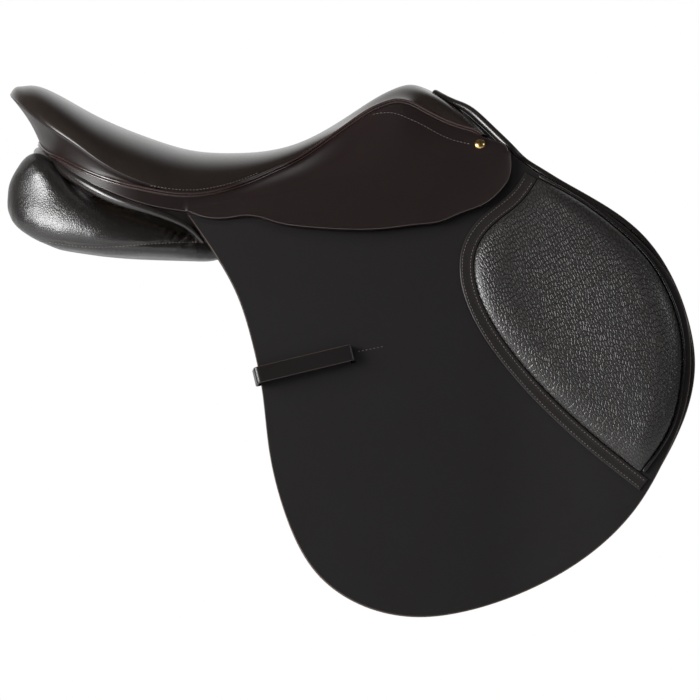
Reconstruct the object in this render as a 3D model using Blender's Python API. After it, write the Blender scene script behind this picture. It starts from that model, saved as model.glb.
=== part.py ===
"""A close-contact English saddle: tree, panels, seat, skirts, flaps, girth straps and stirrup bars.

X points forward to the pommel, Y to the horse's left and Z up. The origin lies in the saddle's middle
plane, under the deepest point of the seat, at the height where the panels rest on the horse.
The drawing is in millimetres. Side pieces are drawn for one side, with y as the distance from the
middle plane, and placed twice.
"""
import math

import bmesh
import bpy
import numpy as np
from mathutils import Vector

MM = 0.001
GAP = 0.3  # play between two pieces that touch

# Leathers, webs, boards and steels: thicknesses
SEAT_LEATHER = 2.4
SKIRT_LEATHER = 3.4
FLAP_LEATHER = 4.2
KEEPER_LEATHER = 2.2
STRAP_LEATHER = 3.5
SWEAT_FLAP_LEATHER = 3.0
BAND_LEATHER = 1.5
WEB = 1.0
RAIL_BOARD = 10.0
PLATE_STEEL = 3.0
SPRING_STEEL = 1.5
BAR_STEEL = 5.0

# Seat, seen from the side (x, z) and from above (x, half width)
SEAT_MIDDLE = [(-209, 155), (-206, 160), (-199, 163), (-190, 163.8), (-168, 157.3), (-133, 138),
               (-81, 115.7), (-40, 103.7), (-5, 101.2), (28, 103.2), (55, 109.6), (80, 121),
               (109, 139), (130, 152.5), (147, 161), (163, 164.6), (180, 159.2)]
CANTLE_RIM = [(-209, 155), (-206, 152), (-198, 145), (-185, 134), (-164, 119), (-147, 108),
              (-126, 93), (-89, 74.5), (-62, 65.6)]
WELT_LINE = [(-181, 111.5), (-176.6, 106), (-163.8, 98.4), (-147, 90.2), (-112, 76), (-89, 70.2),
             (-62, 65), (-40, 63.6), (-19, 66.2), (5, 73.1), (38, 87.4), (60, 98.4), (80, 112),
             (101, 127), (122, 141.2), (137, 148), (149, 150.9), (162, 148.6), (175, 142.1),
             (190, 134.3), (202, 129.2), (212, 126), (223, 122.2), (234, 114.5)]
HALF_WIDTH = [(-89, 126), (-62, 123), (-40, 117.5), (-20, 110.5), (0, 101), (20, 88), (38, 75), (60, 61),
              (80, 52.5), (100, 48.5), (122, 47.5), (150, 49), (175, 52), (201, 56), (234, 61)]
ROUND_FROM = -89.0  # the cantle is round behind this place
CANTLE_LENGTH = 120.0
CANTLE_HALF_WIDTH = 126.0
CANTLE_TUCK = 28.0  # how far the cantle's back leans in from its rim to the welt
SEAT_FRONT = 180.0
HEAD_CUT_BACK = 51.0  # how far the sides of the pommel reach in front of its middle
CUT_BACK_FROM = 60.0

# The straight line along which skirt and flap bend when they are lifted
BEND_HEIGHT = 53.4  # at x = 0
BEND_RISE = 0.186
BEND_HALF_WIDTH = 116.0  # at x = 0
BEND_TAPER = 0.17
BEND_REAR = -44.0
BEND_FRONT = 253.5
BEND_MIDDLE = 105.0
BEND_REACH_FROM = 190.0  # in front of here the skirt sweeps forward to the bend's front end
FLAP_SPREAD = 62.0
FLAP_SPREAD_DEPTH = 110.0
FLAP_SPLAY = 0.11
FLAP_FLARE = 16.0  # outward sweep of the front edge over the horse's shoulder
FLARE_FROM = 240.0
FLARE_LENGTH = 180.0

# Outlines of the leathers in the side view (x, z)
TAIL_EDGE = [(-186, 105.4), (-168, 95.6), (-151, 85), (-133, 74.8), (-112, 64.9), (-83, 53.4), (-44, 45.2)]
SKIRT_EDGE = [(-44, 45.2), (-32, 40.5), (-6, 38.6), (10, 40.5), (24, 38.6), (38, 34), (66, 29.4), (88, 27.6),
              (116, 26.7), (144, 28.5), (165, 31.3), (189, 34.5), (208, 42.3), (231, 51.5), (243, 61.6),
              (252, 74.5), (254, 85.6), (252.5, 100)]
FLAP_EDGE = [(-44, 45.2), (-40, 39.6), (-12, -1.8), (2, -28.5), (16, -71.8), (26, -120.5), (32, -172),
             (47, -231.8), (77, -287), (121, -316.5), (171, -325.7), (205, -322), (268, -301.8), (327.5, -267),
             (370, -224), (396, -179), (413, -137), (419.5, -90), (416, -55), (405, -22), (384, 8), (351, 39),
             (314, 62.5), (279, 82), (253.5, 100.5)]
SWEAT_EDGE = [(4, 48), (10, 10), (18, -35), (30, -76), (38, -122), (45, -172), (60, -226), (92, -272), (130, -297),
              (171, -304), (225, -299), (290, -272), (345, -230), (380, -184), (402, -132), (408, -90), (401, -40),
              (380, -5), (345, 25), (300, 46), (262, 58)]
SWEAT_REAR, SWEAT_FRONT = 4.0, 262.0
SWEAT_TOP, SWEAT_DIP = 6.0, 38.0  # depth of its top edge under the bend line, and how it dips below the bar
DIP_FROM, DIP_LENGTH = 94.0, 40.0
ROLL_TOP = [(186, 6, 155.5), (195, 20, 150.8), (203.5, 30, 146.8), (213.5, 39, 142.3), (228, 51, 130.5),
            (242, 59, 116.8), (255, 66.5, 103.8)]
ROLL_LINE = [(264, 94.6), (275, 87), (294, 75), (334, 52), (371.5, 24), (397.5, -12), (415, -58), (420, -90),
             (414.5, -131), (397, -173), (380, -203), (369, -221)]
ROLL_RADIUS = [(0, 2.6), (0.12, 3.8), (0.7, 3.2), (1, 2.2)]
ROLL_DEPTH = -8.4

# Knee insert, band, piping and keeper on the flap (x, z)
INSERT_REAR = [(279, 76.5), (264, 55), (236.5, 32.2), (222, 10), (221, -17), (232, -48), (254, -82), (295, -128),
               (341, -169), (372, -193.5)]
INSERT_FRONT = [(279, 76.5), (313, 57), (350, 30), (380, 0), (400, -35), (410, -75), (409, -112), (400, -150),
                (372, -193.5)]
INSERT_SWELL = 15.0
INSERT_EDGE = 1.3
BAND_WIDTH = 13.0
PIPING_RADIUS = 1.6
KEEPER_WIDTH = 15.0
KEEPER_SLOT = (107.0, -85.0)
KEEPER_FOLD = (21.5, -105.5)
KEEPER_ROOM = 7.2  # between the keeper and the flap, for the end of a stirrup leather
KEEPER_TAIL = 26.0
KEEPER_WRAP = 1.2  # room round the flap's rear edge

# Girth straps
STRAP_WIDTH = 25.0
STRAP_PITCH = 29.0
STRAP_REAR = 48.0  # x of the rearmost strap, at its top
STRAP_RAKE = 0.1  # how far a strap leans forward over its length
STRAP_TOP = 8.0  # below the bend line
STRAP_END = -262.0
STRAP_PLAY = 1.4  # between a strap and the keeper's turned end
STRAP_POINT = 16.0

# Stirrup bar, drawn flat: along the bend line from its middle, and off the flap's outer face
BAR_MIDDLE = 170.0
BAR_DROP = 24.0  # below the bend line
BAR_HALF = 42.0
BAR_OUT = -2.0
BAR_ROOM = 7.8  # for the stirrup leather, between bar and plate
BAR_HEIGHT = 14.0
BAR_PLATE_HEIGHT = 26.0
BAR_LAP = 10.0
SLOT_MARGIN = 8.0
CATCH_LENGTH = 14.5
CATCH_HALF = 4.4
CATCH_PIN = 1.6
CATCH_HEAD = 2.9
CATCH_PLAY = 0.25

# Tree
RAIL_REAR = [(-138, 71, 84.5, 10), (-90, 76, 68, 6), (-40, 79, 57.5, 8), (0, 80, 57, 14)]  # x, y, z, tilt
RAIL_MIDDLE = [(34, -22), (50, -24), (100, -2), (128, 14), (196, 16)]  # depth under the bend line
RAIL_WIDTH = 44.0
RAIL_STATIONS = [34, 50, 75, 100, 128, 157, 186]
SPRING_WIDTH = 24.0
SPRING_PLAY = 2.4
HEAD_CROWN = [(0, 147, 142, 177, 0), (24, 142.5, 146, 182, 24), (40, 131, 156, 196, 40)]  # y, z, rear, front, tilt
HEAD_LEG = [(-38, 168, 206), (-14, 184, 222), (10, 200, 230), (32, 207, 236), (50, 214, 236)]  # depth, rear, front
HEAD_PLATE = (0.52, 0.92)  # shares of the head's width
CANTLE_DROP = 32.5
CANTLE_BOARD = 8.0
WEB_ACROSS = [(48, 26), (91.5, 54)]  # x and width of the rear and front girth webs

# Panels
GULLET_HALF = 30.0
PANEL_END = -211.6
PANEL_END_RISE = 16.0
PANEL_FRONT = 246.0
PANEL_SECTIONS = [  # x, then inner top, outer top, outer bottom and inner bottom as (y, z)
    (-166, (32, 85.5), (110, 76), (134, 12), (32, 7)), (-135, (31, 79), (122, 62), (137, 6), (31, 4)),
    (-105, (30, 64), (127, 46), (136, 3), (30, 1.5)), (-50, (31, 50.5), (126, 26), (127, -2), (31, 1)),
    (-22, (31, 50.5), (117, 26), (116, -4), (31, 5)), (4, (32, 60), (106, 34), (102, 0), (32, 20))]
PANEL_FORE = [40, 70, 100, 150, 200]
PANEL_UP, PANEL_DOWN = 24.0, 42.0  # how far the front part reaches above and below the rail's middle line
PANEL_THICK = 26.0
PANEL_INNER = 32.0
PANEL_STATIONS = [-166, -150, -128, -105, -78, -50, -36, -22, -8, 8, 25, 42, 65, 90, 120, 155, 178, 200]
PANEL_ROUND = 3.2  # squareness of its section: 2 is an ellipse
PANEL_SIDES = 20
GULLET_LINE = [(-176, 86), (-135, 78), (-105, 62), (-50, 47), (0, 54), (50, 74), (100, 94), (150, 108)]
GULLET_LINING = 1.5
WELT_PATH = [(-181.5, 0, 96.3), (-178, 30, 94.3), (-168.4, 64, 89.8), (-150.9, 93, 79), (-133.4, 111, 68.5),
             (-105.8, 125, 55.2), (-82.8, 130, 47.8), (-61.6, 130, 40), (-40.5, 128, 29.4), (-30, 126, 19)]
PANEL_WELT_RADIUS = 4.6
FLAP_TOP_START = 0.12  # station of its rear end
WELT_BEAD = 3.3  # height of the seam between seat and skirt
SEAM_STEP = 1.4  # how far the skirt stands out past the seat's edge
TAIL_LEAN = 0.3
TAIL_START = -0.995  # station where the skirts' tails meet behind the cantle

FACING_EDGE = [(186, 0, 152), (187, 10, 151.3), (197, 26, 144), (211, 39, 134.5), (224, 48, 122.5), (237, 55, 108),
               (247, 60, 94)]
FACING_WIDTH = 19.0
FACING_LEATHER = 2.5
NAIL_AT = (0.948, 0.6)  # station and share on the fixed part of the skirt
NAIL_RADIUS = 5.2
NAIL_RISE = 3.4
SEAT_FOAM = [(-209, 22), (-89, 26), (-40, 20), (0, 14), (60, 7), (110, 5), (180, 6)]

# Depth of each layer's faces under the flap's outer face, outward first
SKIRT_IN = GAP
SKIRT_OUT = SKIRT_IN + SKIRT_LEATHER
FLAP_IN = -FLAP_LEATHER
TAIL_OUT = FLAP_IN - GAP
STRAP_OUT = TAIL_OUT - KEEPER_LEATHER - STRAP_PLAY
STRAP_IN = STRAP_OUT - STRAP_LEATHER
WEB_OUT = STRAP_IN - 3 * GAP
SWEAT_OUT = WEB_OUT - WEB - GAP
SWEAT_IN = SWEAT_OUT - SWEAT_FLAP_LEATHER
RAIL_OUT = SWEAT_IN - 5 * GAP
RAIL_IN = RAIL_OUT - RAIL_BOARD
SPRING_OUT = RAIL_IN - SPRING_PLAY
SPRING_IN = SPRING_OUT - SPRING_STEEL
PANEL_TOP = SPRING_IN - 2 * GAP


def cubic(points):
    """Return the smooth curve that passes through a few points given as (place, value)."""
    place, value = np.array(points, float).T
    step = np.diff(place)
    slope = np.diff(value) / step
    count = len(place)
    rows = np.eye(count)
    right = np.zeros(count)
    for i in range(1, count - 1):
        rows[i, i - 1:i + 2] = step[i - 1], 2 * (step[i - 1] + step[i]), step[i]
        right[i] = 6 * (slope[i] - slope[i - 1])
    bend = np.linalg.solve(rows, right)

    def at(where):
        inside = min(max(where, place[0]), place[-1])
        i = int(np.clip(np.searchsorted(place, inside) - 1, 0, count - 2))
        a, b = (place[i + 1] - inside) / step[i], (inside - place[i]) / step[i]
        curve = ((a**3 - a) * bend[i] + (b**3 - b) * bend[i + 1]) * step[i]**2 / 6
        return float(a * value[i] + b * value[i + 1] + curve)

    return at


def route(points):
    """Return a smooth curve through a few points in the plane or in space, from 0 to 1."""
    points = np.array(points, float)
    along = np.r_[0, np.cumsum(np.linalg.norm(np.diff(points, axis=0), axis=1))]
    curves = [cubic(list(zip(along, column))) for column in points.T]
    return lambda share: np.array([curve(share * along[-1]) for curve in curves])


def unit(vector):
    return np.array(vector, float) / np.linalg.norm(vector)


def ease(share):
    """Rise gently from 0 to 1."""
    share = min(max(share, 0.0), 1.0)
    return share * share * (3 - 2 * share)


seat_middle = cubic(SEAT_MIDDLE)
cantle_rim = cubic(CANTLE_RIM)
welt_line = cubic(WELT_LINE)
half_width = cubic(HALF_WIDTH)
seat_foam = cubic(SEAT_FOAM)
tail_edge = cubic(TAIL_EDGE)
flap_edge = route(FLAP_EDGE)
skirt_edge = route(SKIRT_EDGE)
sweat_edge = route(SWEAT_EDGE)
roll_line = route(ROLL_LINE)
rail_middle = cubic(RAIL_MIDDLE)
insert_rear = route(INSERT_REAR)
insert_front = route(INSERT_FRONT)


def seat_width(x):
    if x >= ROUND_FROM:
        return half_width(x)
    return CANTLE_HALF_WIDTH * math.sqrt(max(0.0, 1 - ((ROUND_FROM - x) / CANTLE_LENGTH)**2))


def seat_edge(x):
    return cantle_rim(x) if x < -62 else welt_line(x)


def seat_height(x, middle_x, across):
    """Height of the seat, where across is 0 on the middle plane and 1 on its edge."""
    crown = max(0.0, 1 - abs(across)**2.3)**0.62
    return seat_edge(x) + (seat_middle(middle_x) - seat_edge(x)) * crown


def seat_point(station, across):
    """A point of the seat. Stations -1 to 0 go round the cantle, and 0 to 1 go from there to the front."""
    if station < 0:
        angle = (1 + station) * math.pi / 2
        x = ROUND_FROM - CANTLE_LENGTH * across * math.cos(angle)
        y = CANTLE_HALF_WIDTH * across * math.sin(angle)
        width = seat_width(x)
        share = y / width if width > 1e-6 else (1.0 if across > 0.999 else 0.0)
        return np.array((x, y, seat_height(x, x, min(1.0, share))))
    middle_x = ROUND_FROM + (SEAT_FRONT - ROUND_FROM) * station
    x = middle_x + HEAD_CUT_BACK * ease((middle_x - CUT_BACK_FROM) / (SEAT_FRONT - CUT_BACK_FROM)) * across**1.6
    return np.array((x, across * seat_width(x), seat_height(x, middle_x, across)))


def welt_point(station):
    """The seam between seat and skirt, by the same stations."""
    if station < 0:
        angle = (1 + station) * math.pi / 2
        x = ROUND_FROM - (CANTLE_LENGTH - CANTLE_TUCK) * math.cos(angle)
        return np.array((x, CANTLE_HALF_WIDTH * math.sin(angle), welt_line(x)))
    x, y, _ = seat_point(station, 1.0)
    return np.array((x, y, welt_line(x)))


def bend_point(x):
    return np.array((x, BEND_HALF_WIDTH - BEND_TAPER * x, BEND_HEIGHT + BEND_RISE * x - GAP / 2))


def station_at(x):
    """The front station whose seat edge lies at x."""
    low, high = 0.0, 1.0
    for _ in range(40):
        middle = (low + high) / 2
        if seat_point(middle, 1.0)[0] < x:
            low = middle
        else:
            high = middle
    return low


def seam_drop(station):
    """The direction in which the skirt leaves the welt: square to the welt, and down."""
    small = 1e-3
    along = unit(welt_point(min(station + small, 1)) - welt_point(max(station - small, -1)))
    down = np.array((0, 0, -1.0))
    return unit(down - along * along[2] * -1)


def seam_side(station):
    """The direction out of the saddle at the seam, square to the seam and to the skirt."""
    small = 1e-3
    along = unit(welt_point(min(station + small, 1)) - welt_point(max(station - small, -1)))
    return np.cross(seam_drop(station), along) * -1


def skirt_foot(station, start):
    """Where the fixed part of the skirt ends: at the tail's edge, and further forward at the bend."""
    x = start[0]
    if x < BEND_REAR:
        z = tail_edge(x)
        return np.array((x, start[1], z)) + seam_side(station) * TAIL_LEAN * (start[2] - z)
    front = welt_point(1.0)[0]
    reach = (BEND_FRONT - front) * ease((x - BEND_REACH_FROM) / (front - BEND_REACH_FROM))
    return bend_point(min(x + reach, BEND_FRONT)) + np.array((0, 0, GAP))


def top_frame(station):
    """Of the flap's outer face above the bend: its start at the seam, its foot, and the way out at each."""
    edge = welt_point(station) + seam_drop(station) * (WELT_BEAD + GAP) + seam_side(station) * SEAM_STEP
    chord = skirt_foot(station, edge) - edge
    side = seam_side(station)
    way_out = unit(side * -chord[2] + np.array((0, 0, max(0.0, float(chord @ side)))))
    start = edge - way_out * SKIRT_OUT
    foot = skirt_foot(station, start)
    if start[0] < BEND_REAR:
        return start, foot, way_out, way_out
    return start, foot, way_out, hang_normal(foot[0], foot[2] - GAP)


def on_top(station, share, depth):
    """A point above the bend, from the seam (0) to the bend (1), off the flap's outer face."""
    start, foot, first_out, last_out = top_frame(station)
    chord = foot - start
    leave = np.array((0, FLAP_SPREAD / FLAP_SPREAD_DEPTH + FLAP_SPLAY, -1.0))
    arrive = unit(leave) * np.linalg.norm(chord) if start[0] >= BEND_REAR else chord
    first = 1.5 * chord - 0.5 * arrive
    t = share
    place = (start * (2 * t**3 - 3 * t**2 + 1) + first * (t**3 - 2 * t**2 + t)
             + foot * (3 * t**2 - 2 * t**3) + arrive * (t**3 - t**2))
    return place + unit(first_out * (1 - t) + last_out * t) * depth


def hang(x, z):
    """The flap's outer face below the bend: its distance from the middle plane."""
    depth = bend_point(x)[2] - z
    flare = FLAP_FLARE * ease((x - FLARE_FROM) / FLARE_LENGTH) * ease(depth / FLARE_LENGTH)
    return bend_point(x)[1] + FLAP_SPREAD * (1 - math.exp(-depth / FLAP_SPREAD_DEPTH)) + FLAP_SPLAY * depth + flare


def hang_normal(x, z):
    small = 0.5
    slope_x = (hang(x + small, z) - hang(x - small, z)) / (2 * small)
    slope_z = (hang(x, z + small) - hang(x, z - small)) / (2 * small)
    return unit((-slope_x, 1, -slope_z))


def on_flap(x, z, depth):
    """A point below the bend, off the flap's outer face."""
    return np.array((x, hang(x, z), z)) + hang_normal(x, z) * depth


def seen_on_flap(x, z, depth):
    """A point off the flap's outer face that is seen at (x, z) from the side."""
    place_x, place_z = x, z
    for _ in range(5):
        found = on_flap(place_x, place_z, depth)
        place_x += x - found[0]
        place_z += z - found[2]
    return on_flap(place_x, place_z, depth)


def material(name, color, roughness, metallic=0.0):
    found = bpy.data.materials.new(name)
    found.use_nodes = True
    shader = found.node_tree.nodes["Principled BSDF"]
    shader.inputs["Base Color"].default_value = (*color, 1.0)
    shader.inputs["Roughness"].default_value = roughness
    shader.inputs["Metallic"].default_value = metallic
    return found


def build(name, polygons, look, mirrored=False, sharp=35):
    """Make one closed object from polygons given by their corners in millimetres."""
    shape = bmesh.new()
    known = {}
    copies = [1, -1] if mirrored else [1]
    for side in copies:
        for polygon in polygons:
            corners = []
            for x, y, z in polygon:
                key = (round(x, 3), round(side * y, 3) + 0.0, round(z, 3))
                if key not in known:
                    known[key] = shape.verts.new(Vector((x, side * y, z)) * MM)
                if known[key] not in corners:
                    corners.append(known[key])
            if len(corners) > 2 and not shape.faces.get(corners):
                shape.faces.new(corners)
    bmesh.ops.recalc_face_normals(shape, faces=shape.faces[:])
    mesh = bpy.data.meshes.new(name)
    shape.to_mesh(mesh)
    shape.free()
    mesh.shade_smooth()
    mesh.set_sharp_from_angle(angle=math.radians(sharp))
    mesh.materials.append(look)
    found = bpy.data.objects.new(name, mesh)
    bpy.context.scene.collection.objects.link(found)
    return found


def cells(grid):
    """The faces of a grid of points."""
    return [(grid[i][j], grid[i][j + 1], grid[i + 1][j + 1], grid[i + 1][j])
            for i in range(len(grid) - 1) for j in range(len(grid[0]) - 1)]


def slab(outer, inner, open_edges=()):
    """The faces that close the space between two grids, but for edges that meet a mirror plane."""
    faces = cells(outer) + cells(inner)
    edges = {"first": ([p for p in outer[0]], [p for p in inner[0]]),
             "last": ([p for p in outer[-1]], [p for p in inner[-1]]),
             "left": ([row[0] for row in outer], [row[0] for row in inner]),
             "right": ([row[-1] for row in outer], [row[-1] for row in inner])}
    for edge, (above, below) in edges.items():
        if edge not in open_edges:
            faces += cells([above, below])
    return faces


def loft(rings):
    """The faces of a closed body through rings of points, with flat ends."""
    closed = [list(ring) + [ring[0]] for ring in rings]
    return cells(closed) + [tuple(rings[0]), tuple(rings[-1])]


def flipped(point, side):
    return np.array((point[0], side * point[1], point[2]))


def place(polygons, side):
    """The same faces on the left (1) or on the right (-1)."""
    return [tuple(flipped(point, side) for point in polygon) for polygon in polygons]


def tube(name, points, radius, look, sides=2):
    """A round bead along a path, with closed ends. The radius may be one for each point."""
    curve = bpy.data.curves.new(name, "CURVE")
    curve.dimensions = "3D"
    curve.bevel_depth = MM
    curve.bevel_resolution = sides
    curve.use_fill_caps = True
    line = curve.splines.new("POLY")
    line.points.add(len(points) - 1)
    radii = radius if isinstance(radius, list) else [radius] * len(points)
    for spot, point, size in zip(line.points, points, radii):
        spot.co = (*(Vector(point) * MM), 1)
        spot.radius = size
    curve.materials.append(look)
    found = bpy.data.objects.new(name, curve)
    bpy.context.scene.collection.objects.link(found)
    return found


def pivot(piece, point):
    """Put a moving piece's origin on its joint's axis."""
    centre = Vector(point) * MM
    if piece.type == "CURVE":
        for spot in piece.data.splines[0].points:
            spot.co -= Vector((*centre, 0))
    else:
        for vertex in piece.data.vertices:
            vertex.co -= centre
    piece.location = centre


for old in list(bpy.data.objects):
    bpy.data.objects.remove(old)

SEAT_CALF = material("seat_calf", (0.028, 0.020, 0.017), 0.25)
SKIRT_HIDE = material("skirt_hide", (0.030, 0.018, 0.016), 0.40)
FLAP_HIDE = material("flap_hide", (0.022, 0.020, 0.020), 0.50)
GRAIN_CALF = material("grained_calf", (0.020, 0.017, 0.015), 0.35)
LINING = material("lining_leather", (0.035, 0.028, 0.024), 0.55)
FOAM = material("foam", (0.75, 0.70, 0.55), 0.9)
WEBBING = material("webbing", (0.70, 0.66, 0.56), 0.85)
BEECH = material("laminated_beech", (0.55, 0.36, 0.20), 0.6)
STEEL = material("plated_steel", (0.60, 0.60, 0.58), 0.35, 1.0)
SPRING = material("spring_steel", (0.20, 0.21, 0.23), 0.4, 1.0)
BRASS = material("brass", (0.72, 0.52, 0.20), 0.3, 1.0)

SIDES = (("left", 1), ("right", -1))
ROUND_STATIONS = list(np.linspace(-1, 0, 9))
FRONT_STATIONS = list(np.linspace(0, 1, 17)[1:])
STATIONS = ROUND_STATIONS + FRONT_STATIONS  # an odd number


def under_seat(stations, shares, depth):
    """A grid that lies the given depth under the seat's face, square to it."""
    small = 2e-3
    rows = []
    for station in stations:
        row = []
        for across in shares:
            ahead = seat_point(min(station + small, 1), across) - seat_point(max(station - small, -1), across)
            sideways = seat_point(station, min(across + small, 1)) - seat_point(station, max(across - small, 0))
            normal = np.cross(ahead, sideways)
            size = np.linalg.norm(normal)
            normal = normal / size if size > 1e-9 else np.array((0, 0, 1.0))
            if across < small or station <= -1 + small:
                normal = unit((normal[0], 0, normal[2]))
            if across == 1 and station > -0.2:
                normal = seam_side(station)
            row.append(seat_point(station, across) - normal * depth)
        rows.append(row)
    return rows


def lowered(grid, drop):
    return [[point - np.array((0, 0, drop(point[0]))) for point in row] for row in grid]


# Seat: the blocked cover, the foam under it, and the strained webbing that carries both
SEAT_ROWS = [0, 0.22, 0.42, 0.6, 0.75, 0.87, 0.95, 1.0]
build("seat_cover", slab(under_seat(STATIONS, SEAT_ROWS, 0), under_seat(STATIONS, SEAT_ROWS, SEAT_LEATHER),
                         ("first", "left")), SEAT_CALF, mirrored=True)
foam_top = under_seat(STATIONS[:-1], [SEAT_ROWS[k] for k in (0, 1, 2, 4)], SEAT_LEATHER + GAP)
foam_base = lowered(foam_top, seat_foam)
build("seat_foam", slab(foam_top, foam_base, ("first", "left")), FOAM, mirrored=True)
web_top = lowered(foam_base, lambda x: GAP)
web_base = lowered(web_top, lambda x: WEB)
build("seat_webbing", slab(web_top, web_base, ("first", "left")), WEBBING, mirrored=True)


# Cantle facing: the band between the cantle's rim and the welt
def facing_grid(depth):
    rows = []
    for station in ROUND_STATIONS:
        rim = seat_point(station, 1.0) + np.array((0, 0, -GAP - 1.2))
        foot = welt_point(station) + np.array((0, 0, 0.8))
        angle = (1 + station) * math.pi / 2
        outward = np.array((-math.cos(angle), math.sin(angle), 0))
        rows.append([rim + (foot - rim) * t - outward * (depth + 3.0 * math.sin(math.pi * t)) for t in
                     np.linspace(0, 1, 5)])
    return rows


build("cantle_facing", slab(facing_grid(0.4), facing_grid(0.4 + SEAT_LEATHER), ("first",)), SEAT_CALF,
      mirrored=True)

WELT_STATIONS = [-0.985] + STATIONS[1:-1] + [0.985]
for name, side in SIDES:
    bead = [flipped(welt_point(s) + seam_drop(s) * (WELT_BEAD / 2 + GAP), side) for s in WELT_STATIONS]
    tube(f"seat_welt_{name}", bead, WELT_BEAD / 2 - 2 * GAP, SKIRT_HIDE, sides=1)


# Skirt, in a fixed part on the seat and a part that lifts
def hung_grid(top, edge, columns, rows, depth):
    """A grid on the flap's face, from points of a top line to points of an outline."""
    found = []
    for t in np.linspace(0, 1, columns):
        first, last = np.array(top(t)), np.array(edge(t))
        found.append([on_flap(*(first + (last - first) * s), depth) for s in np.linspace(0, 1, rows)])
    return found


def on_bend(share):
    x = BEND_REAR + (BEND_FRONT - BEND_REAR) * share
    return x, bend_point(x)[2]


def hung_leather(name, top, edge, columns, rows, outer, inner, look, side):
    layers = [hung_grid(top, edge, columns, rows, depth) for depth in (outer, inner)]
    return build(name, place(slab(*layers), side), look)


def cut(piece, cutter):
    tool = piece.modifiers.new("cut", "BOOLEAN")
    tool.operation = "DIFFERENCE"
    tool.solver = "EXACT"
    tool.object = cutter


def make_cutter(name, polygons):
    cutter = build(name, polygons, STEEL)
    cutter.hide_render = True
    cutter.display_type = "WIRE"
    return cutter


def side_point(x, depth, off):
    """A point in the saddle's side by its depth under the bend line, off the flap's outer face."""
    if depth >= 0:
        return on_flap(x, bend_point(x)[2] - depth, off)
    bend = bend_point(x)
    rise = welt_point(station_at(x)) - bend
    rise = unit((0, rise[1], rise[2]))
    return bend - rise * depth + np.array((0, rise[2], -rise[1])) * off


BEND_WAY = unit((1, -BEND_TAPER, BEND_RISE))
HINGE = {x: bend_point(x) + hang_normal(x, bend_point(x)[2]) * SKIRT_OUT for x in (0, BEND_MIDDLE)}

# The stirrup bar's own frame: along the bend line, up, and out
BAR_ORIGIN = on_flap(BAR_MIDDLE, bend_point(BAR_MIDDLE)[2] - BAR_DROP, 0)
BAR_NORMAL = hang_normal(BAR_MIDDLE, bend_point(BAR_MIDDLE)[2] - BAR_DROP)
BAR_UP = np.cross(BAR_NORMAL, BEND_WAY)


def on_bar(along, up, out):
    return BAR_ORIGIN + BEND_WAY * along + BAR_UP * up + BAR_NORMAL * out


def bar_box(along, up, out):
    """A block in the bar's frame, between two places each way."""
    return loft([[on_bar(a, u, o) for u, o in ((up[0], out[0]), (up[1], out[0]), (up[1], out[1]), (up[0], out[1]))]
                 for a in along])


# The keeper's frame: along the keeper from its fold to its slot, across it, and out
KEEPER_WAY = unit(np.array(KEEPER_SLOT) - np.array(KEEPER_FOLD))
KEEPER_LENGTH = float(np.linalg.norm(np.array(KEEPER_SLOT) - np.array(KEEPER_FOLD)))


def on_keeper(along, across, out):
    x, z = np.array(KEEPER_FOLD) + KEEPER_WAY * along + np.array((-KEEPER_WAY[1], KEEPER_WAY[0])) * across
    return on_flap(x, z, out)


def keeper_box(along, across, out):
    return loft([[on_keeper(a, c, o) for c, o in ((across[0], out[0]), (across[1], out[0]), (across[1], out[1]),
                                                  (across[0], out[1]))] for a in along])


slots = []
for name, side in SIDES:
    half = BAR_HEIGHT / 2 + SLOT_MARGIN
    slots += place(bar_box((-BAR_HALF - CATCH_LENGTH - 2, BAR_HALF + 2 * SLOT_MARGIN), (-half, half), (-12, 8)), side)
    half = KEEPER_WIDTH / 2 + 0.8
    slots += place(keeper_box((KEEPER_LENGTH - 2.2, KEEPER_LENGTH + 2.2), (-half, half), (-12, 8)), side)
FLAP_SLOTS = make_cutter("flap_slots", slots)

# Skirt and flap, each in a fixed part on the seat and a part that lifts
TOP_STATIONS = [s for s in STATIONS if s >= FLAP_TOP_START]
TOP_SHARES = [0, 0.2, 0.4, 0.6, 0.8, 1]


def top_grid(stations, shares, depth):
    return [[on_top(s, t, depth) for t in shares] for s in stations]


for name, side in SIDES:
    layers = [top_grid([TAIL_START] + STATIONS[1:], TOP_SHARES, depth) for depth in (SKIRT_OUT, SKIRT_IN)]
    build(f"skirt_top_{name}", place(slab(*layers), side), SKIRT_HIDE)
    skirt = hung_leather(f"skirt_{name}", on_bend, skirt_edge, 19, 5, SKIRT_OUT, SKIRT_IN, SKIRT_HIDE, side)
    layers = [top_grid(TOP_STATIONS, TOP_SHARES[2:], depth) for depth in (0, FLAP_IN)]
    build(f"flap_top_{name}", place(slab(*layers), side), FLAP_HIDE)
    flap = hung_leather(f"flap_{name}", on_bend, flap_edge, 37, 8, 0, FLAP_IN, FLAP_HIDE, side)
    cut(flap, FLAP_SLOTS)
    for piece in (skirt, flap):
        pivot(piece, flipped(HINGE[BEND_MIDDLE], side))


# Knee insert: a padded piece with a crown that swells towards its front, on the flap
def beside(path, share, distance):
    """A point beside a path in the side view, to its left for a positive distance."""
    small = 5e-3
    along = unit(path(min(share + small, 1)) - path(max(share - small, 0)))
    return path(share) + distance * np.array((-along[1], along[0]))


def insert_grid(outer):
    rows = []
    for t in np.linspace(0.012, 0.988, 19):
        rear, front = insert_rear(t), insert_front(t)
        row = []
        for u in np.linspace(0, 1, 9):
            swell = INSERT_SWELL * math.sin(math.pi * t)**0.55 * math.sin(math.pi * u**1.35)**0.8 if 0 < u < 1 else 0
            row.append(on_flap(*(rear + (front - rear) * u), 2 * GAP + (INSERT_EDGE + swell if outer else 0)))
        rows.append(row)
    return rows


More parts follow.
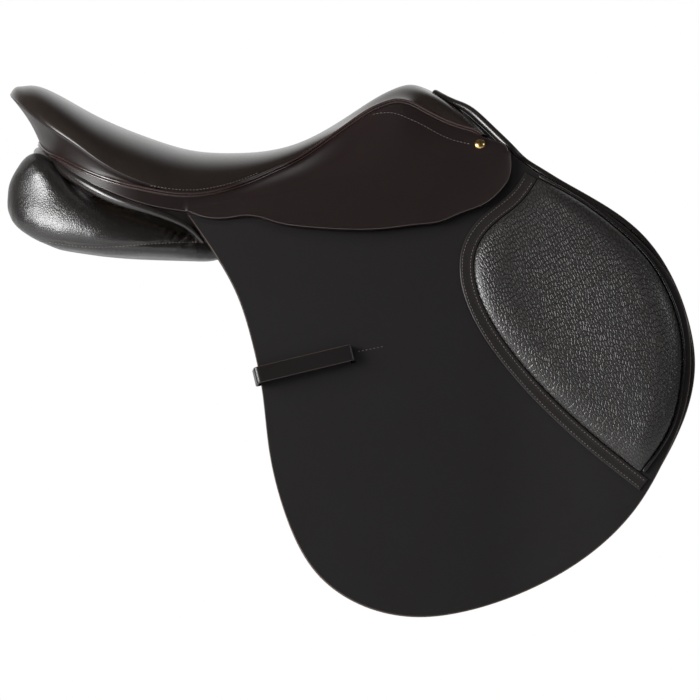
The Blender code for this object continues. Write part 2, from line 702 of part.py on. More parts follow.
for name, side in SIDES:
    insert = build(f"knee_insert_{name}", place(slab(insert_grid(True), insert_grid(False)), side), GRAIN_CALF)
    layers = [[[on_flap(*beside(insert_rear, t, -w), depth) for w in (BAND_WIDTH + 0.5, BAND_WIDTH / 2, 0.5)]
               for t in np.linspace(0.015, 0.985, 25)] for depth in (GAP + BAND_LEATHER, GAP)]
    band = build(f"insert_band_{name}", place(slab(*layers), side), SKIRT_HIDE)
    bead = [flipped(on_flap(*beside(insert_front, t, PIPING_RADIUS + 0.5), GAP + PIPING_RADIUS), side)
            for t in np.linspace(0.01, 0.99, 25)]
    piping = tube(f"insert_piping_{name}", bead, PIPING_RADIUS, SKIRT_HIDE, sides=1)
    half = KEEPER_LEATHER / 2
    inside = TAIL_OUT - half - 2 * GAP
    outside = KEEPER_ROOM + half
    turn = KEEPER_WRAP + half
    path = [(KEEPER_TAIL * 0.8, inside), (-turn * 0.7, inside), (-turn, inside + 1.4), (-turn, outside - 1.4),
            (-turn * 0.7, outside), (KEEPER_LENGTH - 1.6, outside), (KEEPER_LENGTH, outside - 1.8),
            (KEEPER_LENGTH, inside + 1.8), (KEEPER_LENGTH + 1.8, inside), (KEEPER_LENGTH + KEEPER_TAIL, inside)]
    rings = []
    for k, (along, out) in enumerate(path):
        before, after = np.array(path[max(k - 1, 0)]), np.array(path[min(k + 1, len(path) - 1)])
        here = np.array((along, out))
        ways = [unit(v) for v in (here - before, after - here) if np.linalg.norm(v) > 0]
        way = unit(sum(ways))
        miter = np.array((-way[1], way[0])) * half / max(0.5, float(way @ ways[0]))
        low, high = here - miter, here + miter
        w = KEEPER_WIDTH / 2
        rings.append([on_keeper(low[0], -w, low[1]), on_keeper(low[0], w, low[1]), on_keeper(high[0], w, high[1]),
                      on_keeper(high[0], -w, high[1])])
    keeper = build(f"stirrup_keeper_{name}", place(loft(rings), side), SKIRT_HIDE)
    for piece in (insert, band, piping, keeper):
        pivot(piece, flipped(HINGE[BEND_MIDDLE], side))


# Sweat flap and girth straps, under the flap
def sweat_line(share):
    x = SWEAT_REAR + (SWEAT_FRONT - SWEAT_REAR) * share
    return x, bend_point(x)[2] - SWEAT_TOP - SWEAT_DIP * ease((x - DIP_FROM) / DIP_LENGTH)


for name, side in SIDES:
    hung_leather(f"sweat_flap_{name}", sweat_line, sweat_edge, 27, 7, SWEAT_OUT, SWEAT_IN, LINING, side)
    for k in range(3):
        middle = STRAP_REAR + k * STRAP_PITCH
        high = bend_point(middle)[2] - STRAP_TOP
        levels = [(z, 1.0) for z in np.r_[high - np.array((0, 15, 30, 46)), np.linspace(high - 90, STRAP_END
                                                                                        + STRAP_POINT, 5)]]
        levels += [(STRAP_END + 4, 0.55), (STRAP_END, 0.12)]
        layers = [[[on_flap(middle + w * STRAP_WIDTH / 2 + (high - z) * STRAP_RAKE, z, depth) for w in (-share, share)]
                   for z, share in levels] for depth in (STRAP_OUT, STRAP_IN)]
        strap = build(f"girth_strap_{k + 1}_{name}", place(slab(*layers), side), FLAP_HIDE)
        pivot(strap, flipped(on_flap(middle, high - 6, (STRAP_OUT + STRAP_IN) / 2), side))


# Tree: rails with their springs, head, cantle and plates
def rail_point(x, across, off):
    if x >= RAIL_MIDDLE[0][0]:
        return side_point(x, rail_middle(x) + across, off)
    y, z, tilt = (cubic([(row[0], row[k]) for row in RAIL_REAR])(x) for k in (1, 2, 3))
    lean = math.radians(tilt)
    down, up = np.array((0, math.cos(lean), -math.sin(lean))), np.array((0, math.sin(lean), math.cos(lean)))
    return np.array((x, y, z)) + down * across + up * (off - (RAIL_OUT + RAIL_IN) / 2)


def rail_grid(stations, width, depth):
    return [[rail_point(x, across, depth) for across in (-width / 2, 0, width / 2)] for x in stations]


REAR_STATIONS = [-138, -114, -90, -65, -40, -15, 0]
for name, side in SIDES:
    stations = REAR_STATIONS + RAIL_STATIONS
    layers = [rail_grid(stations, RAIL_WIDTH, depth) for depth in (RAIL_OUT, RAIL_IN)]
    build(f"tree_rail_{name}", place(slab(*layers), side), BEECH)
    layers = [rail_grid(stations[2:-1], SPRING_WIDTH, depth) for depth in (SPRING_OUT, SPRING_IN)]
    build(f"tree_spring_{name}", place(slab(*layers), side), SPRING)


def crown_ring(y, z, rear, front, tilt, top, bottom):
    up = np.array((0, math.sin(math.radians(tilt)), math.cos(math.radians(tilt))))
    return [np.array((x, y, z)) + up * drop for x, drop in ((rear, top), (front, top), (front, bottom), (rear, bottom))]


def leg_ring(depth, rear, front, outer, inner):
    return [side_point(x, depth, off) for x, off in ((rear, outer), (front, outer), (front, inner), (rear, inner))]


def arch(crown, leg):
    """Rings from one foot over the middle to the other foot."""
    half = crown + leg
    return [[flipped(point, -1) for point in ring] for ring in half[:0:-1]] + half


head = arch([crown_ring(*row, 0, -RAIL_BOARD) for row in HEAD_CROWN],
            [leg_ring(*row, RAIL_OUT, RAIL_IN) for row in HEAD_LEG])
build("tree_head", loft(head), BEECH)
low, high = HEAD_PLATE
top, bottom = 6 * GAP + PLATE_STEEL, 6 * GAP
plate = arch([crown_ring(y, z, rear + (front - rear) * low, rear + (front - rear) * high, tilt, top, bottom)
              for y, z, rear, front, tilt in HEAD_CROWN],
             [leg_ring(depth, rear + (front - rear) * low, rear + (front - rear) * high, RAIL_OUT + top,
                       RAIL_OUT + bottom) for depth, rear, front in HEAD_LEG[:-1]])
build("head_plate", loft(plate), STEEL)
plate = arch([crown_ring(y, z, rear + 10, front - 10, tilt, -RAIL_BOARD - GAP, -RAIL_BOARD - GAP - PLATE_STEEL)
              for y, z, rear, front, tilt in HEAD_CROWN], [])
build("gullet_plate", loft(plate), STEEL)

layers = []
for drop in (CANTLE_DROP, CANTLE_DROP + CANTLE_BOARD):
    layers.append([[seat_point(s, a) - np.array((0, 0, drop)) for a in (0.52, 0.64, 0.76)]
                   for s in np.linspace(-1, -0.42, 8)])
build("tree_cantle", slab(*layers, ("first",)), BEECH, mirrored=True)

def panel_section(x):
    """Corners of the panel's front part, laid under the rail: inner and outer top, outer and inner bottom."""
    middle = rail_middle(x)
    upper = side_point(x, middle - PANEL_UP, PANEL_TOP)[1:]
    lower = side_point(x, middle + PANEL_DOWN, PANEL_TOP)[1:]
    slope = unit(lower - upper)
    inner = upper - slope * max(0.0, (upper[0] - PANEL_INNER) / slope[0])
    thick = np.array((slope[1], -slope[0])) * PANEL_THICK
    inner_bottom = np.array((PANEL_INNER, inner[1] - PANEL_THICK / slope[0]))
    return x, tuple(inner), tuple(lower), tuple(lower + thick), tuple(inner_bottom)


PANEL_ALL = PANEL_SECTIONS + [panel_section(x) for x in PANEL_FORE]
PANEL_CURVES = [[cubic([(row[0], row[which][axis]) for row in PANEL_ALL]) for axis in (0, 1)] for which in (1, 2, 3, 4)]


def panel_corner(x, which):
    return np.array([curve(x) for curve in PANEL_CURVES[which]])


def panel_ring(x, place_x, size):
    corners = [panel_corner(x, which) for which in range(4)]
    middle = sum(corners) / 4
    corners = [middle + (c - middle) * size for c in corners]
    ring = []
    for angle in np.arange(PANEL_SIDES) * 2 * math.pi / PANEL_SIDES + math.pi / PANEL_SIDES:
        c, s = math.cos(angle), math.sin(angle)
        u = math.copysign(abs(c)**(2 / PANEL_ROUND), c) / 2 + 0.5
        v = math.copysign(abs(s)**(2 / PANEL_ROUND), s) / 2 + 0.5
        upper = corners[0] + (corners[1] - corners[0]) * u
        lower = corners[3] + (corners[2] - corners[3]) * u
        y, z = lower + (upper - lower) * v
        ring.append(np.array((place_x, y, z)))
    return ring


for name, (middle, width) in zip(("rear", "front"), WEB_ACROSS):
    path = [(36, WEB_OUT - WEB), (24, WEB_OUT - WEB), (12, WEB_OUT - WEB), (1.5, WEB_OUT - WEB),
            (-6, RAIL_OUT + 4 * GAP), (-24, RAIL_OUT + 4 * GAP), (-42, RAIL_OUT + 4 * GAP)]
    rings = []
    for depth, off in path:
        rings.append([side_point(middle + w * width / 2, depth, off + lift)
                      for w, lift in ((-1, WEB), (1, WEB), (1, 0), (-1, 0))])
    rings.append([np.array((middle + w * width / 2, PANEL_INNER - 2, panel_corner(middle + w * width / 2, 0)[1] + 3
                            + lift)) for w, lift in ((-1, WEB), (1, WEB), (1, 0), (-1, 0))])
    build(f"girth_web_{name}", loft([[flipped(p, -1) for p in ring] for ring in rings] + rings[::-1]), WEBBING)

# Stirrup bars, each with a catch that folds up at its open rear end
laps, holes = [], []
for name, side in SIDES:
    rear = -BAR_HALF
    laps += place(bar_box((rear - 5, rear + BAR_LAP), (-BAR_HEIGHT, BAR_HEIGHT),
                          (BAR_OUT - BAR_STEEL / 2, BAR_OUT + 5)), side)
BAR_LAPS = make_cutter("bar_laps", laps)


def round_rod(centre, radius, low, high, sides=14):
    """A rod along the bar's normal."""
    return loft([[on_bar(centre + size * math.cos(a), size * math.sin(a), out)
                  for a in np.arange(sides) * 2 * math.pi / sides] for out, size in zip((low, high), (radius, radius))])


PIN_AT = -BAR_HALF + BAR_LAP / 2
for name, side in SIDES:
    holes += place(round_rod(PIN_AT, CATCH_PIN + CATCH_PLAY, BAR_OUT - BAR_STEEL - 2, BAR_OUT + 2), side)
PIN_HOLES = make_cutter("pin_holes", holes)

for name, side in SIDES:
    inner = BAR_OUT - BAR_STEEL
    plate_out = inner - BAR_ROOM
    plate_in = plate_out - PLATE_STEEL
    half, tall = BAR_HEIGHT / 2, BAR_PLATE_HEIGHT / 2
    path = [((-BAR_HALF, inner), (-BAR_HALF, BAR_OUT), half), ((BAR_HALF - 8, inner), (BAR_HALF - 8, BAR_OUT), half),
            ((BAR_HALF - 5, inner - 1), (BAR_HALF - 2, BAR_OUT - 2.5), half),
            ((BAR_HALF - 4, inner - 3), (BAR_HALF, inner), half),
            ((BAR_HALF - 4, plate_out), (BAR_HALF, plate_in), tall), ((-BAR_HALF + 12, plate_out), (-BAR_HALF + 12, plate_in), tall)]
    rings = [[on_bar(a[0], -h, a[1]), on_bar(a[0], h, a[1]), on_bar(b[0], h, b[1]), on_bar(b[0], -h, b[1])]
             for a, b, h in path]
    bar = build(f"stirrup_bar_{name}", place(loft(rings), side), STEEL, sharp=30)
    cut(bar, BAR_LAPS)
    cut(bar, PIN_HOLES)
    low, high = BAR_OUT - BAR_STEEL / 2 + GAP, BAR_OUT
    outline = [(PIN_AT + CATCH_HALF * math.cos(a), CATCH_HALF * math.sin(a)) for a in np.linspace(-1.57, 1.57, 7)]
    outline += [(PIN_AT - CATCH_LENGTH + 4, CATCH_HALF), (PIN_AT - CATCH_LENGTH, 1.8), (PIN_AT - CATCH_LENGTH, -1.8),
                (PIN_AT - CATCH_LENGTH + 4, -CATCH_HALF)]
    tongue = loft([[on_bar(a, u, out) for a, u in outline] for out in (low, high)])
    catch = build(f"safety_catch_{name}", place(tongue, side), STEEL, sharp=30)
    cut(catch, PIN_HOLES)
    pivot(catch, flipped(on_bar(PIN_AT, 0, high), side))
    rings = [[on_bar(PIN_AT + size * math.cos(a), size * math.sin(a), out) for a in np.arange(14) * 2 * math.pi / 14]
             for out, size in ((inner + 0.3, CATCH_PIN), (BAR_OUT + GAP, CATCH_PIN), (BAR_OUT + GAP, CATCH_HEAD),
                               (BAR_OUT + GAP + 0.9, CATCH_HEAD - 0.6))]
    build(f"catch_pin_{name}", place(loft(rings), side), STEEL, sharp=30)


# Pommel facing, the panels' front roll and the saddle nails
def facing_ring(index):
    x, y, z = FACING_EDGE[index]
    ahead = np.array(FACING_EDGE[min(index + 1, len(FACING_EDGE) - 1)]) - np.array(FACING_EDGE[max(index - 1, 0)])
    if index == 0:
        ahead = np.array((0, 1, 0))
    inward = unit((0, ahead[2], -ahead[1]))
    edge = np.array((x, y, z))
    foot = edge + inward * FACING_WIDTH + np.array((-4, 0, 0))
    back = np.array((-FACING_LEATHER, 0, 0))
    return [edge, foot, foot + back, edge + back]


rings = [facing_ring(k) for k in range(len(FACING_EDGE))]
build("pommel_facing", loft([[flipped(p, -1) for p in ring] for ring in rings[:0:-1]] + rings), SKIRT_HIDE)

roll_size = cubic(ROLL_RADIUS)
for name, side in SIDES:
    below = [seen_on_flap(*roll_line(t), ROLL_DEPTH) for t in np.linspace(0, 1, 22)]
    line = route([np.array(point) for point in ROLL_TOP] + below)
    bead = [flipped(line(t), side) for t in np.linspace(0, 1, 36)]
    tube(f"panel_front_roll_{name}", bead, [roll_size(t) for t in np.linspace(0, 1, 36)], LINING, sides=1)
    s, t = NAIL_AT
    centre = on_top(s, t, SKIRT_OUT + 3 * GAP)
    out = unit(on_top(s, t, SKIRT_OUT + 5) - centre)
    along = unit(on_top(s + 0.01, t, SKIRT_OUT + GAP) - centre)
    over = np.cross(out, along)
    rings = [[centre + out * NAIL_RISE * math.sin(lift) + (along * math.cos(a) + over * math.sin(a)) * NAIL_RADIUS
              * math.cos(lift) for a in np.arange(14) * 2 * math.pi / 14]
             for lift in (0, 0.45, 0.9, 1.3)]
    build(f"saddle_nail_{name}", place(loft(rings), side), BRASS, sharp=60)


# Panels: cushions of soft leather, crowned and drawn in along their gussets
for name, side in SIDES:
    rear, front = PANEL_STATIONS[0], PANEL_STATIONS[-1]
    rings = []
    for turn in (0.12, 0.35, 0.62, 0.85):
        lean = turn * math.pi / 2
        ring = panel_ring(rear, rear - (rear - PANEL_END) * math.cos(lean), math.sin(lean)**0.72)
        rings.append([point + np.array((0, 0, PANEL_END_RISE * math.cos(lean))) for point in ring])
    rings += [panel_ring(x, x, 1) for x in PANEL_STATIONS]
    for turn in (0.8, 0.5, 0.2):
        rings.append(panel_ring(front, front + (PANEL_FRONT - front) * math.cos(turn * math.pi / 2),
                                math.sin(turn * math.pi / 2)**0.7))
    build(f"panel_{name}", place(loft(rings), side), LINING, sharp=80)

welt_path = route(WELT_PATH)
for name, side in SIDES:
    bead = [flipped(welt_path(t), side) for t in np.linspace(0.012, 1, 24)]
    size = [PANEL_WELT_RADIUS * (1 - 0.65 * ease((t - 0.55) / 0.45)) for t in np.linspace(0, 1, 24)]
    tube(f"panel_welt_{name}", bead, size, LINING, sides=2)

gullet_line = cubic(GULLET_LINE)
layers = [[[np.array((x, y, gullet_line(x) + 3 * (1 - (y / GULLET_HALF)**2) - drop)) for y in (0, 14, 27)]
           for x in np.linspace(GULLET_LINE[0][0], GULLET_LINE[-1][0], 12)] for drop in (0, GULLET_LINING)]
build("gullet_lining", slab(*layers, ("left",)), LINING, mirrored=True)
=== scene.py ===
import math

import bmesh
import bpy
import numpy as np
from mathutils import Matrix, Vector
from mathutils.bvhtree import BVHTree


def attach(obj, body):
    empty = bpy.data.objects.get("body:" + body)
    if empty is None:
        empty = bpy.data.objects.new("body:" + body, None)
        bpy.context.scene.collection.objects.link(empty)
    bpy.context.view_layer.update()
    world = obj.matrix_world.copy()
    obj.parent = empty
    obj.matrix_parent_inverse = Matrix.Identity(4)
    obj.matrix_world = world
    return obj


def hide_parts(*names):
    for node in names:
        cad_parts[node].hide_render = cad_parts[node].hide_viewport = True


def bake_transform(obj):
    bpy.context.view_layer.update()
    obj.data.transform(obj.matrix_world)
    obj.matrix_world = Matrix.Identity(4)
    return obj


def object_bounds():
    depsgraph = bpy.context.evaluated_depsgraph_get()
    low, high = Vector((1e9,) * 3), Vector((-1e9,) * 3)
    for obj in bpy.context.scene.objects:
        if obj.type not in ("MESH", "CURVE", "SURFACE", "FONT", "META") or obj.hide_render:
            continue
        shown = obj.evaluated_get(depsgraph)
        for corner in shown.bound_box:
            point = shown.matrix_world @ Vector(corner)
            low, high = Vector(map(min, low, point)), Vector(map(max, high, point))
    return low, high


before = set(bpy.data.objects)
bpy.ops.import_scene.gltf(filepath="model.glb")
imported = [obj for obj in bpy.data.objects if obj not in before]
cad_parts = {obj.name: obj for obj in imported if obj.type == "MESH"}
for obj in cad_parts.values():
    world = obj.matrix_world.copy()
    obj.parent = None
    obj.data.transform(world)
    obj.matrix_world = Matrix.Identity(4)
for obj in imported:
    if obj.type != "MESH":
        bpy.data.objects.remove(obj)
cad_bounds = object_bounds()

# Studio: a long lens looks level at the saddle's right side, over a plain pale floor.
# Two soft boxes stand to the left, one overhead and a weak one to the right; the wall behind the
# saddle is white, and the room behind the camera is dim.
CAMERA_AWAY = 20.0
PICTURE_WIDTH = 0.644
PICTURE_MIDDLE = (0.1058, -0.0810)
NEAR_SIDE = -0.12
SENSOR = 36.0


def in_scene(name, data):
    """A new object of that name, in the scene."""
    made = bpy.data.objects.new(name, data)
    bpy.context.scene.collection.objects.link(made)
    return made


camera = in_scene("camera", bpy.data.cameras.new("camera"))
camera.data.sensor_width = SENSOR
camera.data.lens = SENSOR * CAMERA_AWAY / PICTURE_WIDTH
camera.data.clip_end = 60.0
camera.location = (PICTURE_MIDDLE[0], NEAR_SIDE - CAMERA_AWAY, PICTURE_MIDDLE[1])
camera.rotation_euler = (math.pi / 2, 0, 0)
bpy.context.scene.camera = camera
bpy.context.scene.view_settings.view_transform = "Standard"


def add(tree, kind, inputs=None, **settings):
    """Add a node; an input is a value or another node's output."""
    made = tree.nodes.new(kind)
    for key, value in settings.items():
        setattr(made, key, value)
    for key, value in (inputs or {}).items():
        if isinstance(value, bpy.types.NodeSocket):
            tree.links.new(value, made.inputs[key])
        else:
            made.inputs[key].default_value = value
    return made


def calc(tree, operation, *values):
    """A Math node's value."""
    return add(tree, "ShaderNodeMath", dict(enumerate(values)), operation=operation).outputs[0]


def blend_colour(tree, factor, first, second):
    made = add(tree, "ShaderNodeMix", {0: factor, 6: first, 7: second}, data_type="RGBA")
    return made.outputs[2]


def soft_box(name, place, target, size, radiance):
    lamp = in_scene(name, bpy.data.lights.new(name, "AREA"))
    lamp.data.size = size
    lamp.data.energy = radiance * math.pi * size * size
    lamp.location = place
    lamp.rotation_euler = (Vector(target) - Vector(place)).to_track_quat("-Z", "Y").to_euler()
    return lamp


soft_box("soft_box_rear", (-1.6, -1.0, 0.5), (-0.05, 0, 0), 1.0, 15.0)
soft_box("soft_box_side", (-1.35, -1.5, 0.35), (0.1, 0, 0), 0.9, 11.0)
soft_box("soft_box_top", (0.1, -0.35, 1.9), (0.1, 0, 0), 0.6, 14.0).visible_glossy = False
soft_box("soft_box_front", (1.8, -0.7, 0.9), (0.2, 0, 0), 0.7, 3.0)

world = bpy.data.worlds.new("studio")
world.use_nodes = True
bpy.context.scene.world = world
room = world.node_tree
room.nodes.clear()
path = add(room, "ShaderNodeLightPath")
way = add(room, "ShaderNodeSeparateXYZ", {0: add(room, "ShaderNodeTexCoord").outputs["Generated"]})
wall = add(room, "ShaderNodeMapRange", {"Value": way.outputs["Y"], 1: 0.50, 2: 0.98, 3: 0.03, 4: 1.0},
           interpolation_type="SMOOTHSTEP").outputs[0]
seen = calc(room, "MAXIMUM", path.outputs["Is Camera Ray"], path.outputs["Is Transmission Ray"])
above = add(room, "ShaderNodeMapRange", {"Value": way.outputs["Z"], 1: -0.3, 2: 0.9, 3: 0.12,
                                         4: 0.42}).outputs[0]
shade = blend_colour(room, path.outputs["Is Glossy Ray"], above, wall)
shade = blend_colour(room, seen, shade, (1, 1, 1, 1))
back = add(room, "ShaderNodeBackground", {"Color": shade, "Strength": 1.0})
add(room, "ShaderNodeOutputWorld", {"Surface": back.outputs[0]})

FLOOR_UNDER = 0.12
FLOOR_HALF = 4
FLOOR_BACK = 1.9
FLOOR_MATT = 0.65
FLOOR_LIFT = 0.65
floor_z = cad_bounds[0].z - FLOOR_UNDER
floor_mesh = bpy.data.meshes.new("floor")
floor_corners = [(x, y, floor_z) for x, y in ((-FLOOR_HALF, -FLOOR_HALF), (FLOOR_HALF, -FLOOR_HALF),
                                              (FLOOR_HALF, FLOOR_BACK), (-FLOOR_HALF, FLOOR_BACK))]
floor_mesh.from_pydata(floor_corners, [], [(0, 1, 2, 3)])
floor = in_scene("floor", floor_mesh)
pale = bpy.data.materials.new("pale_floor")
pale.use_nodes = True
tree = pale.node_tree
tree.nodes.clear()
path = add(tree, "ShaderNodeLightPath")
matt = add(tree, "ShaderNodeBsdfDiffuse", {"Color": (FLOOR_MATT, FLOOR_MATT, FLOOR_MATT, 1)})
lift = calc(tree, "MULTIPLY", path.outputs["Is Camera Ray"], FLOOR_LIFT)
lift = add(tree, "ShaderNodeEmission", {"Strength": lift})
both = add(tree, "ShaderNodeAddShader", {0: matt.outputs[0], 1: lift.outputs[0]})
add(tree, "ShaderNodeOutputMaterial", {"Surface": both.outputs[0]})
floor_mesh.materials.append(pale)


# Tree: the saddle's frame of laminated beech, two rails joined by a head and a cantle board.
# The plies are glued round a form and sawn to shape, so their layers show on the edges.
MM = 0.001


def new_material(name):
    made = bpy.data.materials.new(name)
    made.use_nodes = True
    made.node_tree.nodes.clear()
    return made, made.node_tree


def finish_material(tree, shader_inputs, bump, strength, distance=0.0002):
    """The Principled shader with the surface's relief, and the output."""
    relief = add(tree, "ShaderNodeBump", {"Strength": strength, "Distance": distance, "Height": bump})
    shader = add(tree, "ShaderNodeBsdfPrincipled", {**shader_inputs, "Normal": relief.outputs[0]})
    add(tree, "ShaderNodeOutputMaterial", {"Surface": shader.outputs[0]})


def noise(tree, vector, scale, detail=3.0, roughness=0.5):
    return add(tree, "ShaderNodeTexNoise", {"Vector": vector, "Scale": scale, "Detail": detail,
                                            "Roughness": roughness}).outputs[0]


def stretched(tree, scale, turn=(0, 0, 0)):
    """Object coordinates, turned and stretched."""
    place = add(tree, "ShaderNodeTexCoord").outputs["Object"]
    turned = add(tree, "ShaderNodeMapping", {"Vector": place, "Rotation": turn},
                 vector_type="POINT").outputs[0]
    return add(tree, "ShaderNodeMapping", {"Vector": turned, "Scale": scale}, vector_type="POINT").outputs[0]


def remap(tree, value, low, high, to_low=0.0, to_high=1.0):
    return add(tree, "ShaderNodeMapRange", {"Value": value, 1: low, 2: high, 3: to_low,
                                            4: to_high}).outputs[0]


beech, tree = new_material("laminated_beech")
plies = noise(tree, stretched(tree, (6, 60, 420)), 1.0, 2.0)
fibre = noise(tree, stretched(tree, (25, 900, 900)), 1.0, 4.0, 0.6)
tone = blend_colour(tree, remap(tree, plies, 0.35, 0.65), (0.43, 0.26, 0.14, 1), (0.62, 0.42, 0.25, 1))
tone = blend_colour(tree, remap(tree, fibre, 0.3, 0.7, 0.0, 0.45), tone, (0.28, 0.16, 0.08, 1))
finish_material(tree, {"Base Color": tone, "Roughness": remap(tree, fibre, 0.3, 0.7, 0.5, 0.68)}, fibre,
                0.25)


def dress(node, look):
    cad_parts[node].data.materials.clear()
    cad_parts[node].data.materials.append(look)


for node in ("tree_rail_left", "tree_rail_right", "tree_head", "tree_cantle"):
    dress(node, beech)

# Steels: head plates riveted over and under the tree's head, blued springs under the rails,
# and stirrup bars with their safety catches, forged, ground and plated.
def metal(name, marks, colour, dull, smooth, rough, relief, patches=None, fineness=0.6):
    """A metal with marks from its working; its colour varies with them, or in patches of its own."""
    look, tree = new_material(name)
    marked = noise(tree, stretched(tree, marks), 1.0, 3.0, fineness)
    varied = noise(tree, stretched(tree, patches), 1.0) if patches else marked
    tone = blend_colour(tree, remap(tree, varied, 0.35, 0.7), (*colour, 1), (*dull, 1))
    shine = remap(tree, marked, 0.3, 0.7, smooth, rough)
    finish_material(tree, {"Base Color": tone, "Metallic": 1.0, "Roughness": shine}, marked, relief)
    return look


plated = metal("plated_steel", (120, 900, 900), (0.60, 0.60, 0.58), (0.46, 0.46, 0.45), 0.24, 0.42, 0.12,
               patches=(60, 60, 60))
blued = metal("spring_steel", (90, 700, 700), (0.13, 0.15, 0.19), (0.24, 0.22, 0.22), 0.32, 0.5, 0.15)
for node in ("head_plate", "gullet_plate", "stirrup_bar_left", "stirrup_bar_right", "safety_catch_left",
             "safety_catch_right", "catch_pin_left", "catch_pin_right"):
    dress(node, plated)
for node in ("tree_spring_left", "tree_spring_right"):
    dress(node, blued)

# Webbing and foam: strained linen webs across the tree carry the seat's foam, and two girth webs
# go over the tree and down each side to the girth straps.
webbing, tree = new_material("webbing")
weave_x = add(tree, "ShaderNodeTexWave", {"Vector": stretched(tree, (1, 1, 1)), "Scale": 260.0,
                                          "Distortion": 0.6},
              bands_direction="X").outputs[1]
weave_y = add(tree, "ShaderNodeTexWave", {"Vector": stretched(tree, (1, 1, 1)), "Scale": 330.0,
                                          "Distortion": 0.6},
              bands_direction="Z").outputs[1]
weave = calc(tree, "MULTIPLY", weave_x, weave_y)
tone = blend_colour(tree, weave, (0.40, 0.36, 0.27, 1), (0.74, 0.70, 0.60, 1))
finish_material(tree, {"Base Color": tone, "Roughness": 0.85}, weave, 0.5, 0.0004)
foam, tree = new_material("foam")
cells = add(tree, "ShaderNodeTexVoronoi", {"Vector": stretched(tree, (1, 1, 1)), "Scale": 900.0}).outputs[0]
tone = blend_colour(tree, remap(tree, cells, 0.0, 0.6), (0.50, 0.45, 0.30, 1), (0.80, 0.75, 0.60, 1))
finish_material(tree, {"Base Color": tone, "Roughness": 0.9}, cells, 0.4)
dress("seat_foam", foam)
dress("seat_webbing", webbing)


def finished(piece, name):
    """A piece's shape with its modifiers applied, as a plain mesh object of that name."""
    bpy.context.view_layer.update()
    mesh = bpy.data.meshes.new_from_object(piece.evaluated_get(bpy.context.evaluated_depsgraph_get()))
    old = piece.data
    bpy.data.objects.remove(piece)
    bpy.data.meshes.remove(old)
    mesh.name = name
    return in_scene(name, mesh)


def smooth_piece(shape, name, look):
    """A smooth piece from a bmesh, which is freed."""
    mesh = bpy.data.meshes.new(name)
    shape.to_mesh(mesh)
    shape.free()
    mesh.shade_smooth()
    mesh.materials.append(look)
    return in_scene(name, mesh)


def rounded_copy(node, name, look, face_angle, shape_angle, levels):
    """A solid of the frame, its triangles joined to larger faces and these subdivided."""
    shape = bmesh.new()
    shape.from_mesh(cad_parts[node].data)
    bmesh.ops.remove_doubles(shape, verts=shape.verts[:], dist=1e-5)
    bmesh.ops.join_triangles(shape, faces=shape.faces[:], angle_face_threshold=math.radians(face_angle),
                             angle_shape_threshold=math.radians(shape_angle))
    piece = smooth_piece(shape, name, look)
    smooth = piece.modifiers.new("smooth", "SUBSURF")
    smooth.levels = smooth.render_levels = levels
    return piece


def fuller(node, name, look, levels):
    """A smooth piece in the form of a plain solid of the frame."""
    made = finished(rounded_copy(node, name, look, 50, 70, levels), name)
    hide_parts(node)
    return made


for node, flat in (("girth_web_front", (0.054, 0.266)), ("girth_web_rear", (0.026, 0.259))):
    web = fuller(node, node + "_linen", webbing, 1)
    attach(web, "saddle")


# Seat: one hide of smooth waxed calf, blocked wet over the foam and drawn down to the welt.
# Its rim is turned at the cantle and its edge is sewn to the skirts.
def cubic(points):
    """The smooth curve through a few points given as (place, value)."""
    place, value = np.array(points, float).T
    step = np.diff(place)
    slope = np.diff(value) / step
    count = len(place)
    rows, right = np.eye(count), np.zeros(count)
    for i in range(1, count - 1):
        rows[i, i - 1:i + 2] = step[i - 1], 2 * (step[i - 1] + step[i]), step[i]
        right[i] = 6 * (slope[i] - slope[i - 1])
    bend = np.linalg.solve(rows, right)

    def at(where):
        inside = np.clip(where, place[0], place[-1])
        i = np.clip(np.searchsorted(place, inside) - 1, 0, count - 2)
        a, b = (place[i + 1] - inside) / step[i], (inside - place[i]) / step[i]
        curl = (a**3 - a) * bend[i] + (b**3 - b) * bend[i + 1]
        return a * value[i] + b * value[i + 1] + curl * step[i]**2 / 6

    return at


def route(points):
    """A smooth curve through a few points in the plane or in space, from 0 to 1."""
    points = np.array(points, float)
    along = np.r_[0, np.cumsum(np.linalg.norm(np.diff(points, axis=0), axis=1))]
    curves = [cubic(list(zip(along, column))) for column in points.T]
    return lambda share: np.stack([curve(np.asarray(share) * along[-1]) for curve in curves], axis=-1)


def unit(vector):
    return vector / np.maximum(np.linalg.norm(vector, axis=-1, keepdims=True), 1e-12)


def ease(share):
    share = np.clip(share, 0.0, 1.0)
    return share * share * (3 - 2 * share)


def point(x, y, z):
    return np.stack(np.broadcast_arrays(x, y, z), axis=-1).astype(float)


seat_middle = cubic([(-209, 155), (-206, 160), (-199, 163), (-190, 163.8), (-168, 157.3), (-133, 138),
                     (-81, 115.7), (-40, 103.7), (-5, 101.2), (28, 103.2), (55, 109.6), (80, 121),
                     (109, 139), (130, 152.5), (147, 161), (163, 164.6), (180, 159.2)])
cantle_rim = cubic([(-209, 155), (-206, 152), (-198, 145), (-185, 134), (-164, 119), (-147, 108),
                    (-126, 93), (-89, 74.5), (-62, 65.6)])
welt_line = cubic([(-181, 111.5), (-176.6, 106), (-163.8, 98.4), (-147, 90.2), (-112, 76), (-89, 70.2),
                   (-62, 65), (-40, 63.6), (-19, 66.2), (5, 73.1), (38, 87.4), (60, 98.4), (80, 112),
                   (101, 127), (122, 141.2), (137, 148), (149, 150.9), (162, 148.6), (175, 142.1),
                   (190, 134.3), (202, 129.2), (212, 126), (223, 122.2), (234, 114.5)])
half_width = cubic([(-89, 126), (-62, 123), (-40, 117.5), (-20, 110.5), (0, 101), (20, 88), (38, 75),
                    (60, 61),
                    (80, 52.5), (100, 48.5), (122, 47.5), (150, 49), (175, 52), (201, 56), (234, 61)])
